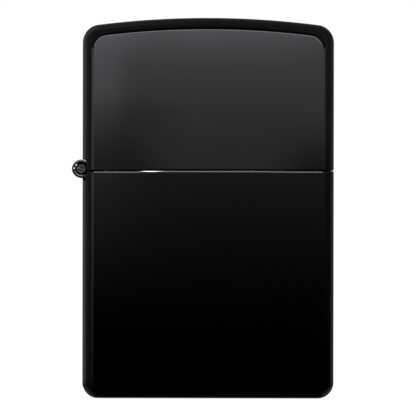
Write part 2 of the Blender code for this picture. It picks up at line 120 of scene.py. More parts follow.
# Hinge
HINGE_X, _, HINGE_Z = joint_point("lid_hinge")
LEAF_LOW, LEAF_HIGH = node_box("hinge_leaf_lower")
PIN_LOW, PIN_HIGH = node_box("hinge_pin")
KNUCKLE_R = HINGE_X - LEAF_LOW.x + 0.05  # a little over that of the CAD
BARREL_HALF = LEAF_HIGH.y
PIN_R = (PIN_HIGH.x - PIN_LOW.x) / 2
PIN_HALF = PIN_HIGH.y
LEAF_T = 0.52
KNUCKLES = 5
KNUCKLE_GAP = 0.12
KNUCKLE_WRAP = math.radians(290)
PLATE_HALF = 4.2
LEAF_ROUND = 0.1
OUTER_SHARE = 0.3  # of that rounding, on the edges outside the curl
PLATE_REACH = HINGE_Z - LEAF_LOW.z
NOTCH_GAP = 0.07
TAB_GAP = 0.25
PIN_FACE = 0.78  # of the pin's radius
PIN_CHAMFER = 0.22

# Insert
CAN_LOW, CAN_HIGH = node_box("insert_can")
DECK_LOW, DECK_HIGH = node_box("insert_deck")
CHIMNEY_LOW, CHIMNEY_HIGH = node_box("chimney")
TUBE_LOW, TUBE_HIGH = node_box("flint_tube")
TUBE_R = (TUBE_HIGH.x - TUBE_LOW.x) / 2
CAN_R = 1.6
TANK = (CAN_LOW.x, CAN_HIGH.x, CAN_HIGH.y, CAN_R)
CAN_WALL = 0.4
DECK_ROUND = 0.4
WHEEL_X, _, WHEEL_Z = joint_point("wheel_spin")
CAM_X, _, CAM_Z = joint_point("cam_rock")
WHEEL_AXLE = (WHEEL_X, WHEEL_Z)
CAM_AXLE = (CAM_X, CAM_Z)
CHIMNEY_X = -0.2
CHIMNEY_HALF_W = 6.4
CHIMNEY_HALF_D = CHIMNEY_HIGH.y
CHIMNEY_R = 2.5
CHIMNEY_WALL = 0.45
VENT_R = 0.95
VENT_PITCH_X = 3.5
VENT_PITCH_Z = 4.1
VENT_MID_Z = 46.6
SPARK_HALF_D = 2.2
SPARK_Z = (42.5, 50.5)
EAR_T = 0.45
WHEEL_EAR_IN = 2.75
WHEEL_EAR_R = 2.3
WHEEL_EAR_Z = (-5.0, 4.0)  # foot and top, from the axle
CAM_EAR_IN = 1.35
CAM_EAR_R = 1.7
CAM_FOOT_Z = -3.5
CAM_EAR_Z = (CAM_FOOT_Z, 3.0)
HEAD_T = 0.45
BORE_GAP = 0.07
SEAT = 0.1
PASS = 0.6  # how far a cutting body reaches past what it cuts

# Flint wheel, cam and spring
_, WHEEL_HIGH = node_box("flint_wheel")
WHEEL_R = WHEEL_HIGH.x - WHEEL_X
WHEEL_HALF = WHEEL_HIGH.y
WHEEL_TEETH = 40
WHEEL_TOOTH = 0.3
TOOTH_SLANT = 0.35  # teeth per millimetre of width
GROOVE_PITCH = 0.62
GROOVE_DEPTH = 0.1
WHEEL_CHAMFER = 0.3
WHEEL_PIN_R = 0.8
WHEEL_HEAD_R = 1.3
CAM_PIN_R = 0.7
CAM_HEAD_R = 1.1
CAM_HALF = node_box("cam")[1].y
SPRING_LEAF_T = 0.22
LEAF_Z = DECK_HIGH.z + SEAT + SPRING_LEAF_T / 2
SPRING_RIVET_X = -14.3
SPRING_RIVET_R = 0.5
SPRING_RIVET_HEAD_R = 0.95

# Flint train
FEED_AXIS = (WHEEL_X, 0)
TUBE_BORE_R = 1.4
STEM_R = 0.55
THREAD_R = 1.3
THREAD_PITCH = 0.36
THREAD_TOP = 6.6
COIL_WIRE_R = 0.17
COIL_TURNS = 20

# Wick and tank filling
WICK_X = 0.2
WICK_R = 1.25
WICK_SWING = 4.5
WICK_WAVE = 22.0
WICK_TOP = node_box("wick")[1].z
WICK_END = 7.5
BRAID_STRANDS = 6
BRAID_PITCH = 2.4
FELT_R = 1.2
FELT_HOLE_R = 2.85
FELT_ROUND = 0.35

ROUND_SIDES = 48
CORNER_STEPS = 12
SIDE_HOLD = 0.05
WELD = 0.00002


# Meshes


def along(start, end, steps):
    """Evenly spaced values from start to end, both included."""
    return [start + (end - start) * i / steps for i in range(steps + 1)]


def arc(centre_x, centre_z, radius, start, end, steps):
    turns = along(start, end, steps)
    return [(centre_x + radius * math.cos(a), centre_z + radius * math.sin(a)) for a in turns]


def circle(centre_x, centre_z, radius, sides=ROUND_SIDES):
    """An arc all the way round, without its last point, which would be its first."""
    return arc(centre_x, centre_z, radius, 0, 2 * math.pi, sides)[:-1]


def smooth(value, low, high):
    """0 below low, 1 above high and a smooth step between."""
    t = min(max((value - low) / (high - low), 0.0), 1.0)
    return t * t * (3 - 2 * t)


def loft(rings, closed=False, capped=True):
    """Skin over rings of equal length. Closed joins the last ring to the first."""
    bm = bmesh.new()
    loops = [[bm.verts.new(point) for point in ring] for ring in rings]
    pairs = list(zip(loops, loops[1:]))
    if closed:
        pairs.append((loops[-1], loops[0]))
    for low, high in pairs:
        for i in range(len(low)):
            j = (i + 1) % len(low)
            bm.faces.new((low[i], low[j], high[j], high[i]))
    if capped and not closed:
        bm.faces.new(loops[0])
        bm.faces.new(loops[-1])
    return bm


def sheet(rows):
    """Open surface through rows of equal length."""
    bm = bmesh.new()
    grid = [[bm.verts.new(point) for point in row] for row in rows]
    for a, b in zip(grid, grid[1:]):
        for i in range(len(a) - 1):
            bm.faces.new((a[i], a[i + 1], b[i + 1], b[i]))
    return bm


def turned(steps, centre, axis="Z", closed=False, sides=ROUND_SIDES):
    """Body of revolution through (radius, height) steps."""
    rings = []
    for radius, height in steps:
        ring = circle(*centre, radius, sides)
        if axis == "Z":
            rings.append([(x, y, height) for x, y in ring])
        else:
            rings.append([(x, height, z) for x, z in ring])
    return loft(rings, closed=closed)


def extrude_y(outline, y0, y1):
    return loft([[(x, y, z) for x, z in outline] for y in (y0, y1)])


def box(x0, x1, y0, y1, z0, z1):
    corners = ((x0, y0), (x1, y0), (x1, y1), (x0, y1))
    return loft([[(x, y, z) for x, y in corners] for z in (z0, z1)])


def rounded_plan(x0, x1, half_depth, radius):
    """Plan outline of a rectangle with round corners. Points close beside them keep its sides flat."""
    y = half_depth - radius
    outline = []
    corners = ((x1 - radius, y), (x0 + radius, y), (x0 + radius, -y), (x1 - radius, -y))
    for turn, (cx, cy) in enumerate(corners):
        start = turn * math.pi / 2
        end = start + math.pi / 2
        rounding = arc(cx, cy, radius, start, end, CORNER_STEPS)
        (ax, ay), (bx, by) = rounding[0], rounding[-1]
        outline.append((ax + SIDE_HOLD * math.sin(start), ay - SIDE_HOLD * math.cos(start)))
        outline += rounding
        outline.append((bx - SIDE_HOLD * math.sin(end), by + SIDE_HOLD * math.cos(end)))
    return outline


def plan_rings(x0, x1, half_depth, radius, steps):
    """Rings of a rectangle with round corners, through (inwards, height) steps."""
    rings = []
    for tuck, z in steps:
        plan = rounded_plan(x0 + tuck, x1 - tuck, half_depth - tuck, radius - tuck)
        rings.append([(x, y, z) for x, y in plan])
    return rings


def rolled_wall(wall, low_z, high_z):
    """(inwards, height) steps round a wall with softly rolled rims."""
    r = wall / 2
    return arc(r, high_z - r, r, math.pi, 0, 6) + arc(r, low_z + r, r, 0, -math.pi, 6)


def fillet(radius, steps):
    """Offsets (inwards, upwards) along a quarter-round edge."""
    return [(radius * (1 - math.cos(a)), radius * math.sin(a)) for a in along(0, math.pi / 2, steps)]


def dome(radius, height):
    """(radius, height) steps of a rivet's domed head, which is left a little flat on top."""
    return [(radius * math.cos(a), height * math.sin(a)) for a in along(0, 1.5, 8)]


def add_object(name, data):
    obj = bpy.data.objects.new(name, data)
    bpy.context.scene.collection.objects.link(obj)
    return obj


def mesh_object(name, bm):
    bm.transform(Matrix.Scale(MM, 4))
    bmesh.ops.recalc_face_normals(bm, faces=bm.faces)
    mesh = bpy.data.meshes.new(name)
    bm.to_mesh(mesh)
    bm.free()
    return add_object(name, mesh)


def combine(piece, name, bm, operation="DIFFERENCE"):
    """Boolean of a piece with a guide body that isn't kept."""
    modifier = piece.modifiers.new(name, "BOOLEAN")
    modifier.operation = operation
    modifier.solver = "EXACT"
    modifier.object = mesh_object(name, bm)


def drill(piece, name, radius, centre, span, axis="Z", sides=ROUND_SIDES):
    """Round hole from one end of the span to the other."""
    combine(piece, name, turned([(radius, at) for at in span], centre, axis, sides=sides))


def freeze(piece):
    """Applies the piece's modifiers and removes the guide bodies of its Booleans."""
    guides = [m.object for m in piece.modifiers if m.type == "BOOLEAN"]
    graph = bpy.context.evaluated_depsgraph_get()
    mesh = bpy.data.meshes.new_from_object(piece.evaluated_get(graph))
    piece.modifiers.clear()
    piece.data = mesh
    mesh.name = piece.name
    for guide in guides:
        bpy.data.objects.remove(guide, do_unlink=True)


def bevel(piece, width, segments, limit, angle=50):
    modifier = piece.modifiers.new("edge_round", "BEVEL")
    modifier.width = width * MM
    modifier.segments = segments
    modifier.limit_method = limit
    modifier.angle_limit = math.radians(angle)
    freeze(piece)


def soften(piece, width, angle=50, segments=2):
    """Rounds the edges that turn more than the angle."""
    bevel(piece, width, segments, "ANGLE", angle)


def thicken(piece, thickness, even=False):
    """Gives a sheet its thickness, half to each side."""
    modifier = piece.modifiers.new("thickness", "SOLIDIFY")
    modifier.thickness = thickness * MM
    modifier.offset = 0
    modifier.use_even_offset = even
    freeze(piece)


def shade(piece, weighted=True, sharp=None):
    """Smooth shading, weighted so that flats stay flat, with edges sharp that turn more than an angle."""
    piece.data.shade_smooth()
    if weighted:
        modifier = piece.modifiers.new("flat_shading", "WEIGHTED_NORMAL")
        modifier.mode = "FACE_AREA"
        modifier.weight = 100
        modifier.keep_sharp = True
        freeze(piece)
    if sharp:
        piece.data.set_sharp_from_angle(angle=math.radians(sharp))


# Material nodes


def feed(tree, socket, value):
    """Links a socket to another one, or sets its value."""
    if isinstance(value, bpy.types.NodeSocket):
        tree.links.new(value, socket)
    else:
        socket.default_value = value


def add_node(tree, kind, inputs, operation=None):
    """Adds a node with values or links for its inputs, which are called by name or by number."""
    node = tree.nodes.new(kind)
    if operation:
        node.operation = operation
    for name, value in inputs.items():
        feed(tree, node.inputs[name], value)
    return node


def maths(tree, operation, *values):
    return add_node(tree, "ShaderNodeMath", dict(enumerate(values)), operation).outputs["Value"]


def vector_maths(tree, operation, *values):
    return add_node(tree, "ShaderNodeVectorMath", dict(enumerate(values)), operation).outputs


def map_range(tree, value, low, high, to_low=0.0, to_high=1.0):
    inputs = {"Value": value, "From Min": low, "From Max": high, "To Min": to_low, "To Max": to_high}
    return add_node(tree, "ShaderNodeMapRange", inputs)


class Finish:
    """A material's node tree, with short calls for the nodes that the finishes share."""

    def __init__(self, name, colour, roughness, metallic=0.0):
        self.material = bpy.data.materials.new(name)
        self.material.use_nodes = True
        self.tree = self.material.node_tree
        self.shader = self.tree.nodes["Principled BSDF"]
        self.put("Base Color", (*colour, 1.0))
        self.put("Roughness", roughness)
        self.put("Metallic", metallic)
        self.coordinates = self.tree.nodes.new("ShaderNodeTexCoord").outputs["Object"]

    def put(self, name, value):
        """Sets or links one of the shader's inputs."""
        feed(self.tree, self.shader.inputs[name], value)

    def stretched(self, scale):
        """Object coordinates in millimetres, stretched by a scale for each axis."""
        inputs = {"Vector": self.coordinates, "Scale": Vector(scale) / MM}
        return add_node(self.tree, "ShaderNodeMapping", inputs).outputs["Vector"]

    def noise(self, scale, detail=4.0, distortion=0.0):
        inputs = {"Vector": self.stretched(scale), "Scale": 1.0, "Detail": detail, "Distortion": distortion}
        return add_node(self.tree, "ShaderNodeTexNoise", inputs).outputs["Fac"]

    def cells(self, scale):
        inputs = {"Vector": self.stretched(scale), "Scale": 1.0}
        return add_node(self.tree, "ShaderNodeTexVoronoi", inputs).outputs["Distance"]

    def ranged(self, *settings):
        return map_range(self.tree, *settings).outputs["Result"]

    def near(self, points, reach, scale=(1, 1, 1)):
        """1 at the points, in millimetres, and 0 beyond the reach. scale shortens distances by axis."""
        nearest = reach
        for point in points:
            target = Vector(point) * Vector(scale)
            distance = vector_maths(self.tree, "DISTANCE", self.stretched(scale), target)["Value"]
            nearest = maths(self.tree, "MINIMUM", distance, nearest)
        return self.ranged(nearest, 0.0, reach, 1.0, 0.0)

    def tint(self, value, dark, light, low=0.3, high=0.7):
        """Base colour between two colours, led by a value."""
        ramp = add_node(self.tree, "ShaderNodeValToRGB", {"Fac": value})
        for element, colour, at in zip(ramp.color_ramp.elements, (dark, light), (low, high)):
            element.position = at
            element.color = (*colour, 1.0)
        self.put("Base Color", ramp.outputs["Color"])

    def rough(self, value, low, high):
        self.put("Roughness", self.ranged(value, 0.25, 0.75, low, high))

    def bump(self, *layers):
        """Bump layers, each a value with its height in millimetres."""
        below = {}
        for value, height in layers:
            inputs = {"Strength": 1.0, "Distance": height * MM, "Height": value, **below}
            below = {"Normal": add_node(self.tree, "ShaderNodeBump", inputs).outputs["Normal"]}
        self.put("Normal", below["Normal"])


def black_gloss():
    """Polished black lacquer: nearly a mirror, with handling haze, orange peel and a painted highlight, a
    short stretch of the rim made bright bare metal where the light glints.
    """
    black = (0.0002, 0.0002, 0.0002)
    finish = Finish("black_gloss", black, 0.04)
    haze = finish.noise((0.12, 0.12, 0.16), 6, 0.6)
    # Painted highlight: bright metal at one spot of the case's front rim, where the light glints on the split
    # line.
    painted_highlight = finish.near([(-8.7, -HALF_D, CASE_RIM - 0.02)], 0.16, (0.06, 1, 1))
    finish.tint(painted_highlight, black, (0.4, 0.4, 0.38), 0.1, 0.8)
    finish.put("Metallic", finish.ranged(painted_highlight, 0.1, 0.5, 0.0, 1.0))
    finish.rough(haze, 0.03, 0.055)
    finish.bump((finish.noise((0.8, 0.8, 0.8), 2), 0.00012), (finish.noise((6, 6, 6), 2), 0.00002))
    finish.put("IOR", 1.5)
    return finish.material


def shell_lining():
    """Bare drawn metal inside the shells, with faint vertical drawing marks."""
    finish = Finish("shell_lining", (0.3, 0.29, 0.27), 0.34, 1.0)
    marks = finish.noise((5, 5, 0.12), 5)
    finish.tint(marks, (0.26, 0.25, 0.235), (0.36, 0.35, 0.33))
    finish.rough(finish.noise((0.6, 0.6, 0.3), 4), 0.24, 0.44)
    finish.bump((marks, 0.002))
    return finish.material


def on_barrel_end(points):
    """Points (across, up) about the hinge's axis, on the front end of the barrel."""
    return [(HINGE_X + across, -BARREL_HALF, HINGE_Z + up) for across, up in points]


def hinge_black():
    """The same lacquer on the hinge, with painted highlights: near-white spots at the front curl's shoulder,
    where a lamp would glint.
    """
    black = (0.002, 0.002, 0.002)
    finish = Finish("hinge_black", black, 0.05)
    # Painted highlights: near-white spots on the front curl's shoulder that stand in for glints of light.
    painted_highlight = finish.near(on_barrel_end(((-0.66, 0.6), (-0.74, 0.48), (-1.02, 0.08))), 0.16)
    finish.tint(painted_highlight, black, (0.86, 0.85, 0.82), 0.15, 0.5)
    finish.rough(painted_highlight, 0.04, 0.4)
    finish.bump((finish.noise((2.6, 2.6, 2.6), 3), 0.003))
    finish.put("IOR", 1.5)
    return finish.material


# Painted reflections: dark strokes across the pin's front end, standing in for the dark reflections of its
# scores
PAINTED_SCORE_REFLECTIONS = (
    (-0.18, 0.28), (-0.02, 0.3), (0.15, 0.35),
    (-0.3, -0.25), (-0.16, -0.27), (-0.02, -0.24), (0.12, -0.19), (0.26, -0.13), (0.4, -0.05),
)


def pin_steel():
    """Swaged pin ends: dull steel with smeared marks, and painted reflections as dark strokes of scores."""
    finish = Finish("pin_steel", (0.08, 0.08, 0.085), 0.35, 1.0)
    smears = finish.noise((0.9, 0.5, 5.0), 5, 0.4)
    # Painted reflections: dark strokes at listed points on the pin's end.
    score_reflections = finish.near(on_barrel_end(PAINTED_SCORE_REFLECTIONS), 0.14)
    shades = maths(finish.tree, "SUBTRACT", smears, score_reflections)
    finish.tint(shades, (0.002, 0.002, 0.002), (0.058, 0.06, 0.062), -0.2, 0.55)
    finish.rough(smears, 0.3, 0.45)
    finish.bump((smears, 0.004))
    return finish.material


def insert_steel():
    """Satin stainless steel, brushed along the length of the deck and round the chimney."""
    finish = Finish("insert_steel", (0.62, 0.62, 0.6), 0.28, 0.8)
    grain = finish.noise((0.16, 0.16, 9.0), 6)
    wear = finish.noise((0.25, 0.3, 0.2), 5, 0.5)
    finish.tint(grain, (0.56, 0.555, 0.54), (0.74, 0.74, 0.725))
    finish.rough(wear, 0.33, 0.42)
    finish.bump((grain, 0.004), (finish.noise((9, 9, 0.4), 3), 0.0012))
    return finish.material


def spring_steel():
    """Blued and oiled spring steel."""
    finish = Finish("spring_steel", (0.4, 0.4, 0.42), 0.32, 1.0)
    film = finish.noise((0.5, 0.8, 0.5), 5, 0.3)
    finish.tint(film, (0.3, 0.3, 0.33), (0.47, 0.46, 0.45))
    finish.rough(film, 0.22, 0.42)
    finish.bump((finish.noise((0.8, 7, 7), 4), 0.003))
    return finish.material


def rivet_chrome():
    """Bright plated rivets with fine turning rings and soft dents."""
    finish = Finish("rivet_chrome", (0.68, 0.68, 0.69), 0.14, 1.0)
    dents = finish.noise((1.4, 1.4, 1.4), 3)
    finish.tint(dents, (0.6, 0.6, 0.61), (0.74, 0.74, 0.75))
    finish.rough(finish.noise((2.5, 2.5, 2.5), 5), 0.08, 0.22)
    finish.bump((dents, 0.012))
    return finish.material


def wheel_steel():
    """Dark hardened steel, lighter and darker in random sooty patches."""
    finish = Finish("wheel_steel", (0.26, 0.26, 0.27), 0.4, 1.0)
    soot = finish.noise((1.2, 1.2, 1.2), 6, 0.4)
    finish.tint(soot, (0.12, 0.118, 0.115), (0.36, 0.36, 0.365))
    finish.rough(soot, 0.52, 0.3)
    finish.bump((finish.noise((7, 7, 7), 4), 0.006))
    return finish.material


def brass():
    """Turned brass, with rings round its axis and slight tarnish."""
    finish = Finish("brass", (0.74, 0.56, 0.26), 0.26, 1.0)
    tarnish = finish.noise((0.35, 0.35, 0.18), 5, 0.7)
    finish.tint(tarnish, (0.58, 0.41, 0.17), (0.8, 0.63, 0.32))
    finish.rough(tarnish, 0.38, 0.2)
    finish.bump((finish.noise((0.3, 0.3, 8.0), 4), 0.004))
    return finish.material


def flint():
    """Pressed flint: grey, grainy and slightly metallic."""
    finish = Finish("flint", (0.15, 0.145, 0.14), 0.6, 0.35)
    grains = finish.cells((7, 7, 7))
    finish.tint(grains, (0.09, 0.087, 0.085), (0.24, 0.235, 0.23), 0.1, 0.8)
    finish.rough(grains, 0.5, 0.75)
    finish.bump((grains, 0.03), (finish.noise((3, 3, 3), 5), 0.04))
    return finish.material


def fibre_finish(name, dark, light, fibre, height):
    """Soft fibres: crossing stretched noises, with a sheen."""
    finish = Finish(name, light, 0.95)
    strands = finish.noise((fibre, fibre * 0.12, fibre * 0.3), 6, 1.2)
    crossing = finish.noise((fibre * 0.25, fibre, fibre * 0.14), 6, 1.2)
    clumps = finish.noise((0.5, 0.5, 0.5), 4, 0.4)
    finish.tint(clumps, dark, light)
    finish.rough(strands, 0.88, 1.0)
    finish.bump((strands, height), (crossing, height), (clumps, height * 4))
    finish.put("Sheen Weight", 0.35)
    finish.put("Sheen Roughness", 0.4)
    return finish.material


FINISHES = {
    "black_gloss": black_gloss(),
    "shell_lining": shell_lining(),
    "hinge_black": hinge_black(),
    "pin_steel": pin_steel(),
    "insert_steel": insert_steel(),
    "spring_steel": spring_steel(),
    "rivet_chrome": rivet_chrome(),
    "wheel_steel": wheel_steel(),
    "brass": brass(),
    "flint": flint(),
    "cotton": fibre_finish("cotton", (0.74, 0.72, 0.68), (0.88, 0.87, 0.84), 9.0, 0.03),
    "wick_cotton": fibre_finish("wick_cotton", (0.66, 0.6, 0.5), (0.84, 0.8, 0.72), 12.0, 0.02),
    "felt": fibre_finish("felt", (0.56, 0.56, 0.54), (0.72, 0.72, 0.7), 14.0, 0.02),
}


def dress(piece, node, slot, *linings):
    """Gives the finished piece its materials and hides the CAD part that it stands for."""
    piece.data.materials.clear()
    for name in (slot, *linings):
        piece.data.materials.append(FINISHES[name])
    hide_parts(node)


def place(piece, node, body, slot, weighted=True, sharp=None):
    """Shades and dresses a rigid piece and puts it on its body."""
    shade(piece, weighted, sharp)
    dress(piece, node, slot)
    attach(piece, body)


def place_spring(piece, node, body, slot, start, end, weighted=True):
    """Shades and dresses a spring and bakes its placement into its mesh, without putting it on a body."""
    shade(piece, weighted)
    dress(piece, node, slot)
    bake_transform(piece)


# Shells


def climb(end_z, z, count):
    """Heights from an open rim, with one close to it so that its rounding stays sharp."""
    return [end_z] + along(end_z + math.copysign(RIM_HOLD, z - end_z), z, count)


def rim_steps(first_r, turn, second_r):
    """(inwards, upwards) steps round a rim's outer edge, in two radii."""
    steps = [(first_r * (1 - math.cos(a)), first_r * math.sin(a)) for a in along(0, turn, 4)]
    inwards, rise = steps[-1]
    for angle in along(turn, math.pi / 2, 6)[1:]:
        more = second_r * (math.cos(turn) - math.cos(angle))
        steps.append((inwards + more, rise + second_r * (math.sin(angle) - math.sin(turn))))
    return steps


def tucked(inset, edge, width):
    """How far in an outline lies, from the inset at edge 0 to the crease's own distance at edge 1."""
    return inset + (width - min(inset, width)) * edge


def lid_outline(inset, edge, end_z):
    """Front view of the lid, from its right end over the crown to its left end.

    inset is the wall's depth below the outer surface, and edge how far in towards the crease, from 0 to 1.
    """
    half = HALF_W - tucked(inset, edge, EDGE_SIDE)
    top = tucked(inset, edge, EDGE_TOP)
    crown_r = CROWN_R - top
    crown_z = LID_TOP - CROWN_R
    corner_r = max(LID_CORNER_R - inset - LID_SHRINK * edge, LEAST_CORNER_R)
    x = half - corner_r
    z = crown_z + math.sqrt((crown_r - corner_r) ** 2 - x**2)
    lean = math.atan2(z - crown_z, x)
    heights = climb(end_z, z, 12)[:-1]
    outline = [(half, h) for h in heights]
    outline += arc(x, z, corner_r, 0, lean, CORNER_STEPS)
    outline += arc(0, crown_z, crown_r, lean, math.pi - lean, 40)[1:-1]
    outline += arc(-x, z, corner_r, math.pi - lean, math.pi, CORNER_STEPS)
    return outline + [(-half, h) for h in reversed(heights)]


def case_outline(inset, edge, end_z):
    """Front view of the case, from its right end round the base to its left end."""
    half = HALF_W - tucked(inset, edge, EDGE_SIDE)
    bottom = tucked(inset, edge, EDGE_BOTTOM)
    corner_r = max(CASE_CORNER_R - inset - CASE_SHRINK * edge, LEAST_CORNER_R)
    x = half - corner_r
    z = bottom + corner_r
    heights = climb(end_z, z, 18)[:-1]
    outline = [(half, h) for h in heights]
    outline += arc(x, z, corner_r, 0, -math.pi / 2, CORNER_STEPS)
    outline += [(w, bottom) for w in along(x, -x, 24)[1:-1]]
    outline += arc(-x, z, corner_r, 1.5 * math.pi, math.pi, CORNER_STEPS)
    return outline + [(-half, h) for h in reversed(heights)]


def edge_profile():
    """(edge, depth) steps from the flat face to the side: the crease's small round and then the long round.

    edge is 1 at the crease and 0 at the side, and depth runs from 0 at the face.
    """
    radius = EDGE_SIDE / (1 - math.cos(EDGE_TURN))
    scale = EDGE_DEPTH / (radius * math.sin(EDGE_TURN))
    width = EDGE_SIDE
    half_turn = (math.pi / 2 - EDGE_TURN) / 2
    reach = CREASE_R * math.tan(half_turn)
    steps = []
    for share in along(0, 1, 5):
        turn = 2 * half_turn * share
        inwards = reach - CREASE_R * math.sin(turn)
        steps.append(((width + inwards) / width, CREASE_R * (1 - math.cos(turn))))
    start = EDGE_TURN - reach / radius
    for angle in along(start, 0, 16)[1:]:
        edge = radius * (1 - math.cos(angle)) / width
        depth = scale * radius * (math.sin(EDGE_TURN) - math.sin(angle))
        steps.append((edge, depth))
    return steps


def lid_warp(x, z):
    """How far the lid's face lies behind the plane of the case's face."""
    height = z - LID_RIM
    turn, x0, x1, start, end = LID_DIPS[-1 if x < 0 else 1]
    share = min(max((height - start) / (end - start), 0.0), 1.0)
    dip = min(height, start) + (end - start) * (share - share**3 + share**4 / 2)
    return math.tan(LID_LEAN) * height - turn * smooth(abs(x), x0, x1) * dip


def no_warp(x, z):
    return 0.0


def split_sag(x, y):
    """How far both rims run lower towards the corners of the front."""
    left, *left_span = SAG_LEFT
    right, *right_span = SAG_RIGHT
    corner = left * smooth(-x, *left_span) + right * smooth(x, *right_span)
    return corner * smooth(-y, HALF_D - 2, HALF_D - 1)


def shell_surface(outline, inset, end_z, warp):
    """Rows of points from the middle of the front end, over the front, sides and back, to its middle."""
    half = HALF_D - inset
    front = []
    crease = outline(inset, 1.0, end_z)
    for share in along(0, 1, 16)[:-1]:
        front.append([(x * share, -half, end_z + (z - end_z) * share) for x, z in crease])
    for edge, depth in edge_profile():
        y = max(half - depth, HALF_D - EDGE_DEPTH)
        front.append([(x, -y, z) for x, z in outline(inset, edge, end_z)])
    rows = front + [[(x, -y, z) for x, y, z in row] for row in reversed(front)]
    flat_y = HALF_D - EDGE_DEPTH
    warped = []
    for row in rows:
        moved = []
        for x, y, z in row:
            share = smooth(abs(y), flat_y, half)
            moved.append(Vector((x, y - math.copysign(1, y) * warp(x, z) * share, z)))
        warped.append(moved)
    return warped


def shell(name, outline, rim_edge, up, warp):
    """Closed thin shell, open at its rim. up is 1 where the rim is the top and -1 where it is the bottom.

    Each ring runs over the outer surface, round the rim, back over the inner surface and round the rim.
    """
    rim_z = rim_edge[0]
    rounding = rim_steps(*rim_edge[1:])
    outer_rise = rounding[-1][1]
    outer = shell_surface(outline, 0.0, rim_z - up * outer_rise, warp)
    inner = shell_surface(outline, WALL, rim_z - up * INNER_RIM_R, warp)

    def rim(outside, inside):
        across = inside - outside
        across.z = 0
        across.normalize()
        points = []
        for inwards, rise in rounding[1:]:
            point = outside + across * inwards
            points.append((point.x, point.y, rim_z - up * (outer_rise - rise)))
        for inwards, rise in reversed(fillet(INNER_RIM_R, 3)[1:]):
            point = inside - across * inwards
            points.append((point.x, point.y, rim_z - up * (INNER_RIM_R - rise)))
        return points

    rings = []
    outer_count = len(outer[0])
    for out_row, in_row in zip(outer, inner):
        ring = [tuple(p) for p in out_row]
        ring += rim(out_row[-1], in_row[-1])
        ring += [tuple(p) for p in reversed(in_row)]
        ring += reversed(rim(out_row[0], in_row[0]))
        rings.append(ring)
    bm = loft(rings, capped=False)
    rim_count = (len(rings[0]) - 2 * outer_count) // 2
    first_inner = outer_count + rim_count
    columns = len(rings[0])
    bm.faces.ensure_lookup_table()
    for index, face in enumerate(bm.faces):
        column = index % columns
        face.material_index = int(first_inner <= column < first_inner + outer_count - 1)
    bmesh.ops.remove_doubles(bm, verts=bm.verts, dist=WELD)
    bmesh.ops.dissolve_degenerate(bm, edges=bm.edges, dist=WELD / 2)
    for vert in bm.verts:
        from_rim = up * (rim_z - vert.co.z)
        vert.co.z -= split_sag(vert.co.x, vert.co.y) * smooth(SAG_REACH - from_rim, 0, 1)
    piece = mesh_object(name, bm)
    half = BARREL_HALF + NOTCH_GAP
    drill(piece, "notch", KNUCKLE_R + NOTCH_GAP, (HINGE_X, HINGE_Z), (-half, half), "Y")
    freeze(piece)
    shade(piece)
    true_flats(piece, warp)
    return piece


def true_flats(piece, warp):
    """Gives the front and back faces the normals of their own slight warp, right up to their edges."""
    mesh = piece.data
    normals = [corner.vector.copy() for corner in mesh.corner_normals]
    step = 0.05
    for loop in mesh.loops:
        x, y, z = mesh.vertices[loop.vertex_index].co / MM
        if abs(y) < HALF_D - warp(x, z) - FLAT_MARGIN:
            continue
        slope_x = (warp(x + step, z) - warp(x - step, z)) / (2 * step)
        slope_z = (warp(x, z + step) - warp(x, z - step)) / (2 * step)
        normals[loop.index] = Vector((slope_x, math.copysign(1, y), slope_z)).normalized()
    mesh.normals_split_custom_set(normals)


def shells():
    for name, node, body, *form in (
        ("case_shell", "lower_case", "case", case_outline, CASE_EDGE, 1, no_warp),
        ("lid_shell", "lid", "lid_body", lid_outline, LID_EDGE, -1, lid_warp),
    ):
        piece = shell(name, *form)
        dress(piece, node, "black_gloss", "shell_lining")
        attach(piece, body)


# Hinge


def knuckle_spans():
    width = (2 * BARREL_HALF - (KNUCKLES - 1) * KNUCKLE_GAP) / KNUCKLES
    starts = [-BARREL_HALF + i * (width + KNUCKLE_GAP) for i in range(KNUCKLES)]
    return [(start, start + width) for start in starts]


def round_sheet(piece):
    """Rounds a leaf's edges, the ones inside its curl more than the others."""
    bm = bmesh.new()
    bm.from_mesh(piece.data)
    weight = bm.edges.layers.float.new("bevel_weight_edge")
    for edge in bm.edges:
        if edge.calc_face_angle() > math.radians(40):
            middle = (edge.verts[0].co + edge.verts[1].co) / 2 / MM
            inside = math.hypot(middle.x - HINGE_X, middle.z - HINGE_Z) < KNUCKLE_R - LEAF_T / 2
            edge[weight] = 1.0 if inside else OUTER_SHARE
    bm.to_mesh(piece.data)
    bm.free()
    bevel(piece, LEAF_ROUND, 3, "WEIGHT")


def hinge_leaf(name, node, body, up, own):
    """One bent sheet: a plate inside the wall and tabs that curl round the pin."""
    bend_r = KNUCKLE_R - LEAF_T / 2
    slot = KNUCKLE_R + TAB_GAP
    widen = KNUCKLE_R + NOTCH_GAP / 2 - LEAF_T / 2
    path = [(HINGE_X + bend_r, HINGE_Z - up * drop) for drop in (PLATE_REACH, slot, widen)]
    path += [(x, HINGE_Z + up * z) for x, z in arc(HINGE_X, 0, bend_r, 0, KNUCKLE_WRAP, 44)]
    spans = knuckle_spans()
    columns = sorted([y for span in spans for y in span] + [-PLATE_HALF, PLATE_HALF])
    bm = bmesh.new()
    corners = {}

    def corner(row, column):
        if (row, column) not in corners:
            x, z = path[row]
            corners[row, column] = bm.verts.new((x, columns[column], z))
        return corners[row, column]

    for row in range(len(path) - 1):
        for column in range(len(columns) - 1):
            middle = (columns[column] + columns[column + 1]) / 2
            on_plate = abs(middle) < PLATE_HALF
            on_tab = any(spans[i][0] < middle < spans[i][1] for i in own)
            if (on_plate, on_plate and on_tab, on_tab)[min(row, 2)]:
                around = ((0, 0), (0, 1), (1, 1), (1, 0))
                bm.faces.new([corner(row + r, column + c) for r, c in around])
    piece = mesh_object(name, bm)
    thicken(piece, LEAF_T, even=True)
    round_sheet(piece)
    place(piece, node, body, "hinge_black")


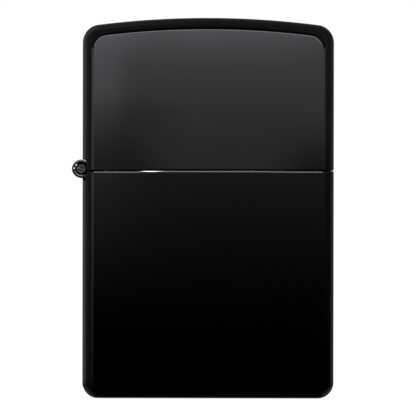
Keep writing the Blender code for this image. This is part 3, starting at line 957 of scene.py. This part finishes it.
def hinge_pin():
    """Pin with swaged ends: a flat crushed middle inside a dark chamfer."""
    face_r = PIN_FACE * PIN_R
    half = [(face_r * share, PIN_HALF) for share in along(0.04, 1, 12)]
    for a in along(0, math.pi / 2, 5)[1:]:
        tuck = (PIN_R - face_r) * (1 - math.sin(a))
        half.append((PIN_R - tuck, PIN_HALF - PIN_CHAMFER * (1 - math.cos(a))))
    half += [(PIN_R, PIN_HALF - 0.5), (KNUCKLE_R - LEAF_T - 0.01, PIN_HALF - 0.55)]
    rings = []
    for radius, height in [(r, -h) for r, h in half] + half[::-1]:
        ring = []
        for x, z in circle(0, 0, radius, 64):
            crush = 0.0
            if radius <= face_r:
                crush = 0.02 + 0.02 * math.sin(11 * z + 2 * math.sin(5 * x)) + 0.012 * math.sin(9 * x - 4 * z)
            ring.append((HINGE_X + x, height - math.copysign(crush, height), HINGE_Z + z))
        rings.append(ring)
    place(mesh_object("hinge_pin_rod", loft(rings)), "hinge_pin", "case", "pin_steel")


def hinge():
    hinge_leaf("hinge_lower_leaf", "hinge_leaf_lower", "case", 1, (0, 2, 4))
    hinge_leaf("hinge_upper_leaf", "hinge_leaf_upper", "lid_body", -1, (1, 3))
    hinge_pin()


# Insert


def can():
    """Thin can, open at both ends, with softly rolled rims."""
    rings = plan_rings(*TANK, rolled_wall(CAN_WALL, CAN_LOW.z, CAN_HIGH.z))
    place(mesh_object("tank_can", loft(rings, closed=True)), "insert_can", "case", "insert_steel")


def deck():
    """Top plate of the tank, rounded at its edge, with holes for the wick, the flint tube and the rivet."""
    steps = [(0.05, DECK_LOW.z + 0.02)]
    steps += [(tuck, DECK_HIGH.z - DECK_ROUND + rise) for tuck, rise in fillet(DECK_ROUND, 6)]
    piece = mesh_object("tank_deck", loft(plan_rings(*TANK, steps)))
    holes = ((WICK_X, WICK_R + 0.3), (WHEEL_X, TUBE_R + SEAT), (SPRING_RIVET_X, SPRING_RIVET_R + SEAT))
    for index, (x, radius) in enumerate(holes):
        drill(piece, f"deck_hole_{index}", radius, (x, 0), (DECK_LOW.z - PASS, DECK_HIGH.z + PASS))
    freeze(piece)
    soften(piece, 0.06, 60)
    place(piece, "insert_deck", "case", "insert_steel")


def ear(root_x, span, pivot, radius, y0, y1):
    """Flat lug from the chimney's end wall, with a round end about the pivot."""
    px, pz = pivot
    sweep = math.pi / 2 if px > root_x else -math.pi / 2
    outline = [(root_x, pz + span[0])]
    outline += arc(px, pz, radius, -math.pi / 2, -math.pi / 2 + 2 * sweep, 2 * CORNER_STEPS)
    outline.append((root_x, pz + span[1]))
    return extrude_y(outline, y0, y1)


def chimney():
    """Perforated wind screen with ears for the wheel and for the cam."""
    x0 = CHIMNEY_X - CHIMNEY_HALF_W
    x1 = CHIMNEY_X + CHIMNEY_HALF_W
    middle = CHIMNEY_WALL / 2
    rise = along(CHIMNEY_LOW.z, CHIMNEY_HIGH.z, 48)
    steps = [(0, z) for z in rise] + [(CHIMNEY_WALL, z) for z in reversed(rise)]
    rings = plan_rings(x0, x1, CHIMNEY_HALF_D, CHIMNEY_R, steps)
    piece = mesh_object("wind_screen", loft(rings, closed=True))
    ears = (
        ("wheel_ear", x1 - middle, WHEEL_EAR_Z, WHEEL_AXLE, WHEEL_EAR_R, WHEEL_EAR_IN),
        ("cam_ear", x0 + middle, CAM_EAR_Z, CAM_AXLE, CAM_EAR_R, CAM_EAR_IN),
    )
    for side in (-1, 1):
        for name, root_x, span, pivot, radius, inside in ears:
            ys = sorted((side * inside, side * (inside + EAR_T)))
            combine(piece, f"{name}_{side}", ear(root_x, span, pivot, radius, *ys), "UNION")
    reach = (-HALF_D, HALF_D)
    for column in (-1, 0, 1):
        for row in (-1, 1) if column == 0 else (-2, 0, 2):
            centre = (CHIMNEY_X + column * VENT_PITCH_X, VENT_MID_Z + row * VENT_PITCH_Z / 2)
            drill(piece, f"vent_{column}_{row}", VENT_R, centre, reach, "Y", sides=32)
    for name, centre, radius in (("wheel", WHEEL_AXLE, WHEEL_PIN_R), ("cam", CAM_AXLE, CAM_PIN_R)):
        drill(piece, f"{name}_bore", radius + BORE_GAP, centre, reach, "Y")
    window = box(x1 - 2 * CHIMNEY_WALL, x1 + CHIMNEY_WALL, -SPARK_HALF_D, SPARK_HALF_D, *SPARK_Z)
    combine(piece, "spark_window", window)
    freeze(piece)
    soften(piece, 0.09)
    place(piece, "chimney", "case", "insert_steel")


def rivet(name, node, centre, radius, head_r, ear_outside):
    """Rivet along Y with a domed head outside each ear."""
    inside = ear_outside + SEAT / 2
    skirt = 0.12
    half = [(radius, inside), (head_r - 0.04, inside), (head_r, inside + 0.05)]
    half += [(r, inside + skirt + h) for r, h in dome(head_r, HEAD_T - skirt)]
    steps = [(r, -y) for r, y in reversed(half)] + half
    place(mesh_object(name, turned(steps, centre, "Y")), node, "case", "rivet_chrome")


def flint_wheel():
    """Wheel with sharp slanted teeth, cut across by a second row of finer grooves."""
    steps_tooth = 8
    steps_round = WHEEL_TEETH * steps_tooth
    steps_wide = 28
    rings = []
    bore = WHEEL_PIN_R + BORE_GAP
    for share in along(0, 1, steps_wide):
        y = -WHEEL_HALF + 2 * WHEEL_HALF * share
        chamfer = max(0.0, abs(y) - (WHEEL_HALF - WHEEL_CHAMFER)) * 0.9
        groove = 0.5 - 0.5 * math.cos(2 * math.pi * (y + WHEEL_HALF) / GROOVE_PITCH)
        ring = []
        for i, (across, up) in enumerate(circle(0, 0, 1, steps_round)):
            phase = (i / steps_tooth + y * TOOTH_SLANT) % 1.0
            tooth = WHEEL_TOOTH * (phase / 0.8 if phase < 0.8 else (1 - phase) / 0.2)
            radius = WHEEL_R - WHEEL_TOOTH + tooth - GROOVE_DEPTH * (1 - groove) - chamfer
            ring.append((WHEEL_X + radius * across, y, WHEEL_Z + radius * up))
        rings.append(ring)
    dish = WHEEL_HALF - 0.12
    sides = [(2.55, WHEEL_HALF), (2.4, dish), (1.45, dish), (1.3, WHEEL_HALF)]
    sides += [(bore + 0.06, WHEEL_HALF), (bore, WHEEL_HALF - 0.06)]
    for radius, y in sides + [(r, -h) for r, h in reversed(sides)]:
        rings.append([(x, y, z) for x, z in circle(WHEEL_X, WHEEL_Z, radius, steps_round)])
    piece = mesh_object("spark_wheel", loft(rings, closed=True))
    place(piece, "flint_wheel", "wheel_body", "wheel_steel", weighted=False, sharp=35)


def cam():
    """Rocking cam with a hub, a nose towards the hinge and a flat foot on the leaf spring."""
    outline = arc(0, 0, 1.9, math.radians(-20), math.radians(118), 20)
    outline += arc(-7.4, -3.8, 0.9, math.radians(125), math.radians(300), 20)
    outline += [(-5.2, -2.6), (-3.6, -2.5), (-2.6, CAM_FOOT_Z), (0.7, CAM_FOOT_Z), (1.5, -2.2)]
    outline = [(CAM_X + x, CAM_Z + z) for x, z in outline]
    piece = mesh_object("lid_cam", extrude_y(outline, -CAM_HALF, CAM_HALF))
    drill(piece, "cam_hole", CAM_PIN_R + BORE_GAP, CAM_AXLE, (-CAM_HALF - PASS, CAM_HALF + PASS), "Y")
    freeze(piece)
    soften(piece, 0.12, segments=3)
    place(piece, "cam", "cam_body", "spring_steel")


def cam_spring():
    """Leaf spring: flat where it is riveted down, then up to a flat end under the cam's foot."""
    high = CAM_Z + CAM_FOOT_Z - SEAT - SPRING_LEAF_T / 2
    spring_low, spring_high = node_box("cam_spring")
    bend_x0 = SPRING_RIVET_X + 1.4
    bend_x1 = CAM_X - 1.6
    end_r = 0.5
    path = []
    for x in along(0, end_r, 6):
        half = spring_high.y - end_r + end_r * math.sin(math.acos(1 - x / end_r))
        path.append((spring_low.x + x, LEAF_Z, half))
    for share in along(0, 1, 28):
        rise = (1 - math.cos(math.pi * share)) / 2
        path.append((bend_x0 + (bend_x1 - bend_x0) * share, LEAF_Z + (high - LEAF_Z) * rise, spring_high.y))
    path.append((spring_high.x, high, spring_high.y))
    rows = [[(x, y, z) for y in along(-half, half, 6)] for x, z, half in path]
    piece = mesh_object("cam_leaf_spring", sheet(rows))
    thicken(piece, SPRING_LEAF_T)
    drill(piece, "spring_hole", SPRING_RIVET_R + SEAT, (SPRING_RIVET_X, 0), (LEAF_Z - PASS, LEAF_Z + PASS))
    freeze(piece)
    soften(piece, 0.04)
    ends = ((bend_x0, 0, LEAF_Z), (spring_high.x - 0.5, 0, LEAF_Z))
    place_spring(piece, "cam_spring", "cam_body", "spring_steel", *ends)


def leaf_rivet():
    """Rivet through the leaf spring and the deck, with a domed head at each end."""
    top = LEAF_Z + SPRING_LEAF_T / 2 + SEAT / 2
    under = DECK_LOW.z - SEAT
    heads = dome(SPRING_RIVET_HEAD_R, HEAD_T)
    steps = [(r, under - h) for r, h in reversed(heads)]
    steps += [(SPRING_RIVET_R, under), (SPRING_RIVET_R, top)]
    steps += [(r, top + h) for r, h in heads]
    piece = mesh_object("leaf_spring_rivet", turned(steps, (SPRING_RIVET_X, 0)))
    place(piece, "cam_spring_rivet", "case", "rivet_chrome")


# Flint train


def place_turned(name, node, body, steps, closed=False):
    """Turned brass part about the flint train's axis."""
    place(mesh_object(name, turned(steps, FEED_AXIS, closed=closed)), node, body, "brass")


def flint_tube():
    steps = [(TUBE_R - tuck, z) for tuck, z in rolled_wall(TUBE_R - TUBE_BORE_R, TUBE_LOW.z, TUBE_HIGH.z)]
    place_turned("flint_guide_tube", "flint_tube", "case", steps, closed=True)


def flint_rod():
    """Rod of flint, uneven round its side and chamfered at its ends."""
    low, high = node_box("flint")
    radius = (high.x - low.x) / 2
    rings = []
    for share in along(0, 1, 40):
        z = low.z + (high.z - low.z) * share
        chamfer = 0.12 * max(0, 1 - min(share, 1 - share) / 0.03)
        ring = []
        for x, y in circle(0, 0, 1):
            reach = radius - 0.03 + 0.03 * noise.noise(Vector((x, y, z)) * 3.0) - chamfer
            ring.append((WHEEL_X + reach * x, reach * y, z))
        rings.append(ring)
    place(mesh_object("flint_rod", loft(rings)), "flint", "flint_body", "flint", weighted=False, sharp=40)


def plunger():
    """Pusher between the spring and the flint: a stem, and a head with a groove round it."""
    low, high = node_box("spring_plunger")
    wide = (high.x - low.x) / 2
    shoulder = low.z + 2.3
    steps = [(STEM_R - 0.12, low.z), (STEM_R, low.z + 0.12), (STEM_R, shoulder), (wide - 0.08, shoulder)]
    steps += [(wide, shoulder + 0.08), (wide, shoulder + 0.8), (wide - 0.12, shoulder + 0.9)]
    steps += [(wide, shoulder + 1.0)] + arc(wide - 0.3, high.z - 0.3, 0.3, 0, math.pi / 2, 6)
    place_turned("flint_pusher", "spring_plunger", "flint_body", steps)


def screw():
    """Slotted screw that closes the flint tube, with a thread and a pin for the spring."""
    low, high = node_box("spring_screw")
    head_r = (high.x - low.x) / 2
    head_top = low.z + 1.2
    steps = arc(head_r - 0.25, low.z + 0.25, 0.25, -math.pi / 2, 0, 6)
    steps += [(head_r, head_top - 0.1), (head_r - 0.1, head_top), (THREAD_R, head_top)]
    z = head_top + 0.3
    while z < THREAD_TOP - 0.2:
        steps += [(THREAD_R, z), (THREAD_R - 0.12, z + 0.11), (THREAD_R, z + 0.22)]
        z += THREAD_PITCH
    steps += [(THREAD_R, THREAD_TOP), (STEM_R, THREAD_TOP), (STEM_R, high.z - 0.1), (STEM_R - 0.1, high.z)]
    piece = mesh_object("tube_screw", turned(steps, FEED_AXIS))
    reach = head_r + PASS
    groove = box(WHEEL_X - 0.35, WHEEL_X + 0.35, -reach, reach, low.z - PASS, low.z + 0.6)
    combine(piece, "slot", groove)
    freeze(piece)
    place(piece, "spring_screw", "case", "brass", sharp=50)


def coil_spring():
    low, high = node_box("flint_spring")
    coil_r = (high.x - low.x) / 2 - COIL_WIRE_R
    z0, z1 = low.z + COIL_WIRE_R, high.z - COIL_WIRE_R
    points = []
    for share in along(0, 1, COIL_TURNS * 24):
        angle = 2 * math.pi * COIL_TURNS * share
        x = WHEEL_X + coil_r * math.cos(angle)
        points.append(Vector((x, coil_r * math.sin(angle), z0 + (z1 - z0) * share)))
    piece = mesh_object("flint_coil_spring", tube_along(points, lambda s, a: COIL_WIRE_R, 10))
    ends = ((WHEEL_X, 0, z0), (WHEEL_X, 0, z1))
    place_spring(piece, "flint_spring", "flint_body", "spring_steel", *ends, weighted=False)


def tube_along(points, radius, sides):
    """Tube round a path, with a radius that depends on the distance along it and on the angle round it."""
    rings = []
    distance = 0.0
    side = Vector((0, 1, 0))
    for index, point in enumerate(points):
        before = points[max(index - 1, 0)]
        after = points[min(index + 1, len(points) - 1)]
        forward = (after - before).normalized()
        side = (side - forward * side.dot(forward)).normalized()
        other = forward.cross(side)
        distance += (point - before).length
        ring = []
        for i in range(sides):
            angle = 2 * math.pi * i / sides
            reach = radius(distance, angle)
            ring.append(point + (side * math.cos(angle) + other * math.sin(angle)) * reach)
        rings.append(ring)
    return loft(rings)


# Wick, wadding and felt


def wick():
    """Braided cotton cord, with its strands crossing both ways round it and a loose end at the top."""
    points = [Vector((WICK_X, 0, z)) for z in along(WICK_TOP - 0.3, DECK_HIGH.z, 60)]
    for z in along(DECK_LOW.z - SEAT, WICK_END, 150):
        swing = 1 - math.cos(2 * math.pi * (DECK_LOW.z - SEAT - z) / WICK_WAVE)
        points.append(Vector((WICK_X - WICK_SWING * swing, 0, z)))

    def braid(distance, angle):
        lay = 2 * math.pi * distance / BRAID_PITCH
        left = math.cos(BRAID_STRANDS * angle / 2 + lay)
        right = math.cos(BRAID_STRANDS * angle / 2 - lay)
        over = max(left * left, right * right)
        taper = smooth(distance, -0.6, 0.5)
        return (WICK_R - 0.2 + 0.19 * over) * (0.75 + 0.25 * taper)

    piece = mesh_object("braided_wick", tube_along(points, braid, 48))
    place(piece, "wick", "case", "wick_cotton", weighted=False)


def wad(node):
    """Teased cotton: a rounded wad, drawn into tufts and hollows."""
    low, high = node_box(node)
    centre = (low + high) / 2
    half = (high - low) / 2
    seed = Vector((centre.x, 17.0, centre.z))
    bm = bmesh.new()
    bmesh.ops.create_icosphere(bm, subdivisions=6, radius=1.0)
    for vert in bm.verts:
        point = vert.co.normalized() * half
        tufts = noise.fractal(point * 0.45 + seed, 1.0, 2.1, 5)
        fibres = abs(noise.noise(point * Vector((4, 1.2, 1.6)) + seed))
        shrink = 0.955 + 0.04 * max(min(tufts, 1.0), -1.0) - 0.03 * fibres
        vert.co = centre + point * min(shrink, 0.995)
    piece = mesh_object(node.replace("cotton", "wad"), bm)
    place(piece, node, "case", "cotton", weighted=False)


def felt_pad():
    """Pressed felt cut to the can, with rounded edges and a punched hole for the screw."""
    low, high = node_box("felt_pad")
    top = [(tuck, high.z - FELT_ROUND + rise) for tuck, rise in fillet(FELT_ROUND, 5)]
    steps = [(tuck, low.z + high.z - z) for tuck, z in reversed(top)] + top
    piece = mesh_object("tank_felt", loft(plan_rings(low.x, high.x, high.y, FELT_R, steps)))
    drill(piece, "felt_hole", FELT_HOLE_R, FEED_AXIS, (low.z - 1, high.z + 1))
    freeze(piece)
    place(piece, "felt_pad", "case", "felt")


def insert():
    can()
    deck()
    chimney()
    rivet("wheel_axle_rivet", "wheel_rivet", WHEEL_AXLE, WHEEL_PIN_R, WHEEL_HEAD_R, WHEEL_EAR_IN + EAR_T)
    rivet("cam_pivot_rivet", "cam_rivet", CAM_AXLE, CAM_PIN_R, CAM_HEAD_R, CAM_EAR_IN + EAR_T)
    flint_wheel()
    cam()
    cam_spring()
    leaf_rivet()
    flint_tube()
    flint_rod()
    plunger()
    screw()
    coil_spring()
    wick()
    for number in range(1, 6):
        wad(f"cotton_{number}")
    felt_pad()


# Studio


def levels(tree, value, points):
    """Brightness that follows (degrees, level) points."""
    low, high = points[0][0], points[-1][0]
    share = map_range(tree, value, low, high).outputs["Result"]
    ramp = add_node(tree, "ShaderNodeValToRGB", {"Fac": share})
    elements = ramp.color_ramp.elements
    for index, (degrees, level) in enumerate(points):
        at = (degrees - low) / (high - low)
        element = elements[index] if index < 2 else elements.new(at)
        element.position = at
        element.color = (level, level, level, 1.0)
    return ramp.outputs["Color"]


# Brightness of what the gloss reflects, by degrees above the horizon, in front of the face
FRONT_LEVELS = (
    (-4.0, 0.0), (-1.9, 0.0), (-1.6, 0.012), (-1.2, 0.036), (-0.7, 0.063), (-0.2, 0.1), (0.15, 0.14),
    (0.6, 0.17), (1.1, 0.42), (1.4, 0.48), (1.8, 0.5), (2.2, 0.6), (2.5, 0.74), (2.85, 0.85),
    (3.15, 1.05), (3.35, 1.3), (3.6, 2.0), (3.8, 2.2), (4.6, 3.2), (6.0, 3.7),
)
# The same further up and down
HIGH_LEVELS = (
    (-90.0, 0.02), (-52.0, 0.03), (-38.0, 0.15), (-14.0, 0.17), (-9.0, 0.1), (-6.0, 0.0), (6.0, 3.7),
    (14.0, 4.8), (30.0, 4.8), (42.0, 0.8), (49.0, 0.0), (56.0, 0.02), (66.0, 0.14), (90.0, 0.14),
)
HIGH_ASIDE = 2.0  # a degree to the side above the horizon counts as this many degrees up
# Left of the front, where the rounded edge looks
LEFT_LEVELS = ((-4.0, 0.0), (-2.7, 0.12), (-0.7, 0.39), (0.4, 0.68), (1.5, 0.9), (5.0, 1.0))
# Brightness round the horizon, by degrees from the front
LEFT_ROUND = (
    (0.0, 0.14), (60.0, 0.14), (90.0, 0.19), (110.0, 0.33), (124.0, 0.42), (140.0, 0.2), (180.0, 0.14),
)
RIGHT_ROUND = (
    (0.0, 0.2), (64.0, 0.2), (80.0, 0.13), (100.0, 0.105), (120.0, 0.15), (140.0, 0.14), (180.0, 0.15),
)
# How much of it is left, by degrees above the horizon
RIGHT_FADE = (
    (-4.0, 0.0), (-2.2, 0.03), (-0.7, 0.38), (0.4, 0.58), (0.8, 0.62), (1.4, 0.95), (2.3, 1.15), (8.0, 1.15),
)
LEFT_FADE = ((-4.0, 0.4), (-2.2, 0.5), (-0.7, 0.75), (0.4, 0.87), (1.4, 1.0), (8.0, 1.0))
# How much brighter the front is, by degrees to the left
HIGH_LEFT_GAIN = ((-8.0, 0.85), (-1.6, 0.85), (0.0, 1.0), (1.6, 1.2), (8.0, 1.2))
LOW_LEFT_GAIN = ((-8.0, 1.0), (1.2, 0.9), (1.6, 0.95), (1.9, 1.2), (8.0, 1.2))
LEFT_GAIN = (
    (-8.0, 1.05), (-1.6, 1.04), (0.0, 1.0), (0.8, 1.1), (1.2, 1.27), (1.6, 1.55), (1.9, 1.9), (8.0, 1.9),
)
FLOOR_HALF = 6.0
FLOOR_DROP = 0.00002  # below the object, in metres like the floor's half width
# Tints of the light
COOL = (0.945, 0.995, 1.07)
WARM = (1.05, 1.02, 0.92)


def studio_world():
    """White room, in which glossy surfaces see a soft box over a dark horizon instead."""
    world = bpy.data.worlds.new("studio")
    bpy.context.scene.world = world
    world.use_nodes = True
    tree = world.node_tree
    tree.nodes.clear()

    def by(value, points):
        return levels(tree, value, points)

    def mix(factor, first, second):
        node = tree.nodes.new("ShaderNodeMix")
        node.data_type = "RGBA"
        colours = [socket for socket in node.inputs if socket.type == "RGBA"]
        for socket, value in zip([node.inputs["Factor"], *colours], (factor, first, second)):
            feed(tree, socket, value)
        return next(socket for socket in node.outputs if socket.type == "RGBA")

    def step(value, low, high):
        node = map_range(tree, value, low, high)
        node.interpolation_type = "SMOOTHSTEP"
        return node.outputs["Result"]

    def scaled(colour, factor):
        return vector_maths(tree, "MULTIPLY", colour, factor)["Vector"]

    direction = tree.nodes.new("ShaderNodeTexCoord").outputs["Generated"]
    split = add_node(tree, "ShaderNodeSeparateXYZ", {"Vector": direction})
    x, y, z = (split.outputs[axis] for axis in "XYZ")
    height = maths(tree, "DEGREES", maths(tree, "ARCSINE", z))
    to_left = maths(tree, "MULTIPLY", x, -1.0)
    to_front = maths(tree, "MULTIPLY", y, -1.0)
    left = maths(tree, "DEGREES", maths(tree, "ARCTAN2", to_left, to_front))
    away = maths(tree, "ABSOLUTE", left)
    on_left = step(left, 0.0, 1.0)
    white = (1.0, 1.0, 1.0, 1.0)

    gain = mix(step(height, -2.0, -0.3), by(left, LOW_LEFT_GAIN), by(left, LEFT_GAIN))
    gain = mix(step(height, 2.8, 3.5), gain, by(left, HIGH_LEFT_GAIN))
    front = by(height, FRONT_LEVELS)
    near = scaled(scaled(front, gain), COOL)
    clipped = vector_maths(tree, "MINIMUM", near, (0.9, 0.9, 0.9))["Vector"]
    beside = mix(on_left, clipped, by(height, LEFT_LEVELS))
    lobe = mix(step(away, 6.0, 20.0), near, beside)
    around = mix(on_left, scaled(by(away, RIGHT_ROUND), COOL), scaled(by(away, LEFT_ROUND), WARM))
    fade = mix(on_left, by(height, RIGHT_FADE), by(height, LEFT_FADE))
    around = scaled(around, mix(step(away, 92.0, 124.0), fade, white))
    around = scaled(around, step(height, -6.0, -3.0))
    horizon = mix(step(away, 56.0, 63.0), lobe, around)
    horizon = mix(step(away, 170.0, 176.0), horizon, front)

    aside = maths(tree, "MULTIPLY", away, HIGH_ASIDE)
    squares = [maths(tree, "MULTIPLY", value, value) for value in (height, aside)]
    slant = maths(tree, "SQRT", maths(tree, "ADD", *squares))
    high = by(mix(step(height, 0.0, 1.0), height, slant), HIGH_LEVELS)
    low = mix(step(away, 140.0, 165.0), high, (0.03, 0.03, 0.03, 1.0))
    high_around = mix(step(height, -7.0, -6.0), low, around)
    high = mix(step(away, 50.0, 63.0), high, high_around)
    glossy = mix(step(maths(tree, "ABSOLUTE", height), 5.0, 6.5), horizon, high)

    path = tree.nodes.new("ShaderNodeLightPath")
    seen = mix(path.outputs["Is Glossy Ray"], white, glossy)
    background = add_node(tree, "ShaderNodeBackground", {"Color": seen})
    add_node(tree, "ShaderNodeOutputWorld", {"Surface": background.outputs["Background"]})


def floor():
    """Pale floor, which the gloss doesn't mirror and which can be looked through from below."""
    bm = bmesh.new()
    bmesh.ops.create_grid(bm, x_segments=8, y_segments=8, size=FLOOR_HALF)
    mesh = bpy.data.meshes.new("floor")
    bm.to_mesh(mesh)
    bm.free()
    obj = add_object("floor", mesh)
    obj.location.z = CAD_LOW.z - FLOOR_DROP
    obj.visible_glossy = False
    paper = Finish("floor_paper", (0.2, 0.2, 0.2), 1.0)
    tree = paper.tree
    paper.put("Specular IOR Level", 0.0)
    paper.put("Emission Color", (1.0, 1.0, 1.0, 1.0))
    paper.put("Emission Strength", 0.85)
    fibres = add_node(tree, "ShaderNodeTexNoise", {"Scale": 900.0})
    paper.tint(fibres.outputs["Fac"], (0.2, 0.2, 0.2), (0.23, 0.23, 0.23), 0.0, 1.0)
    seen_from_below = tree.nodes.new("ShaderNodeNewGeometry").outputs["Backfacing"]
    clear = tree.nodes.new("ShaderNodeBsdfTransparent").outputs["BSDF"]
    inputs = {"Fac": seen_from_below, 1: paper.shader.outputs["BSDF"], 2: clear}
    surface = add_node(tree, "ShaderNodeMixShader", inputs).outputs["Shader"]
    feed(tree, tree.nodes["Material Output"].inputs["Surface"], surface)
    mesh.materials.append(paper.material)


def soft_light(name, place_at, aim, size, power):
    data = bpy.data.lights.new(name, "AREA")
    data.size = size
    data.energy = power
    light = add_object(name, data)
    light.location = place_at
    light.rotation_euler = (aim - place_at).to_track_quat("-Z", "Y").to_euler()
    light.visible_camera = False
    light.visible_glossy = False


def lights():
    centre = (CAD_LOW + CAD_HIGH) / 2
    soft_light("key_box", centre + Vector((-0.35, -0.4, 0.55)), centre, 0.5, 1.6)
    soft_light("fill_box", centre + Vector((0.5, 0.3, 0.5)), centre, 0.5, 0.7)


LENS = 300.0
CAMERA_DISTANCE = 0.5191  # from the front face
CAMERA_ROLL = math.radians(-0.1)
CAMERA_X = -0.00002


def camera():
    """Long lens square on to the front face, at the middle of its height."""
    data = bpy.data.cameras.new("camera")
    data.lens = LENS
    data.clip_start = 0.01
    data.clip_end = 50.0
    obj = add_object("camera", data)
    middle = (CAD_LOW.z + CAD_HIGH.z) / 2
    obj.location = (CAMERA_X, CAD_LOW.y - CAMERA_DISTANCE, middle)
    obj.rotation_euler = (math.pi / 2, CAMERA_ROLL, 0)
    bpy.context.scene.camera = obj


camera()
shells()
hinge()
insert()
studio_world()
floor()
lights()
bpy.context.scene.view_settings.view_transform = "Standard"
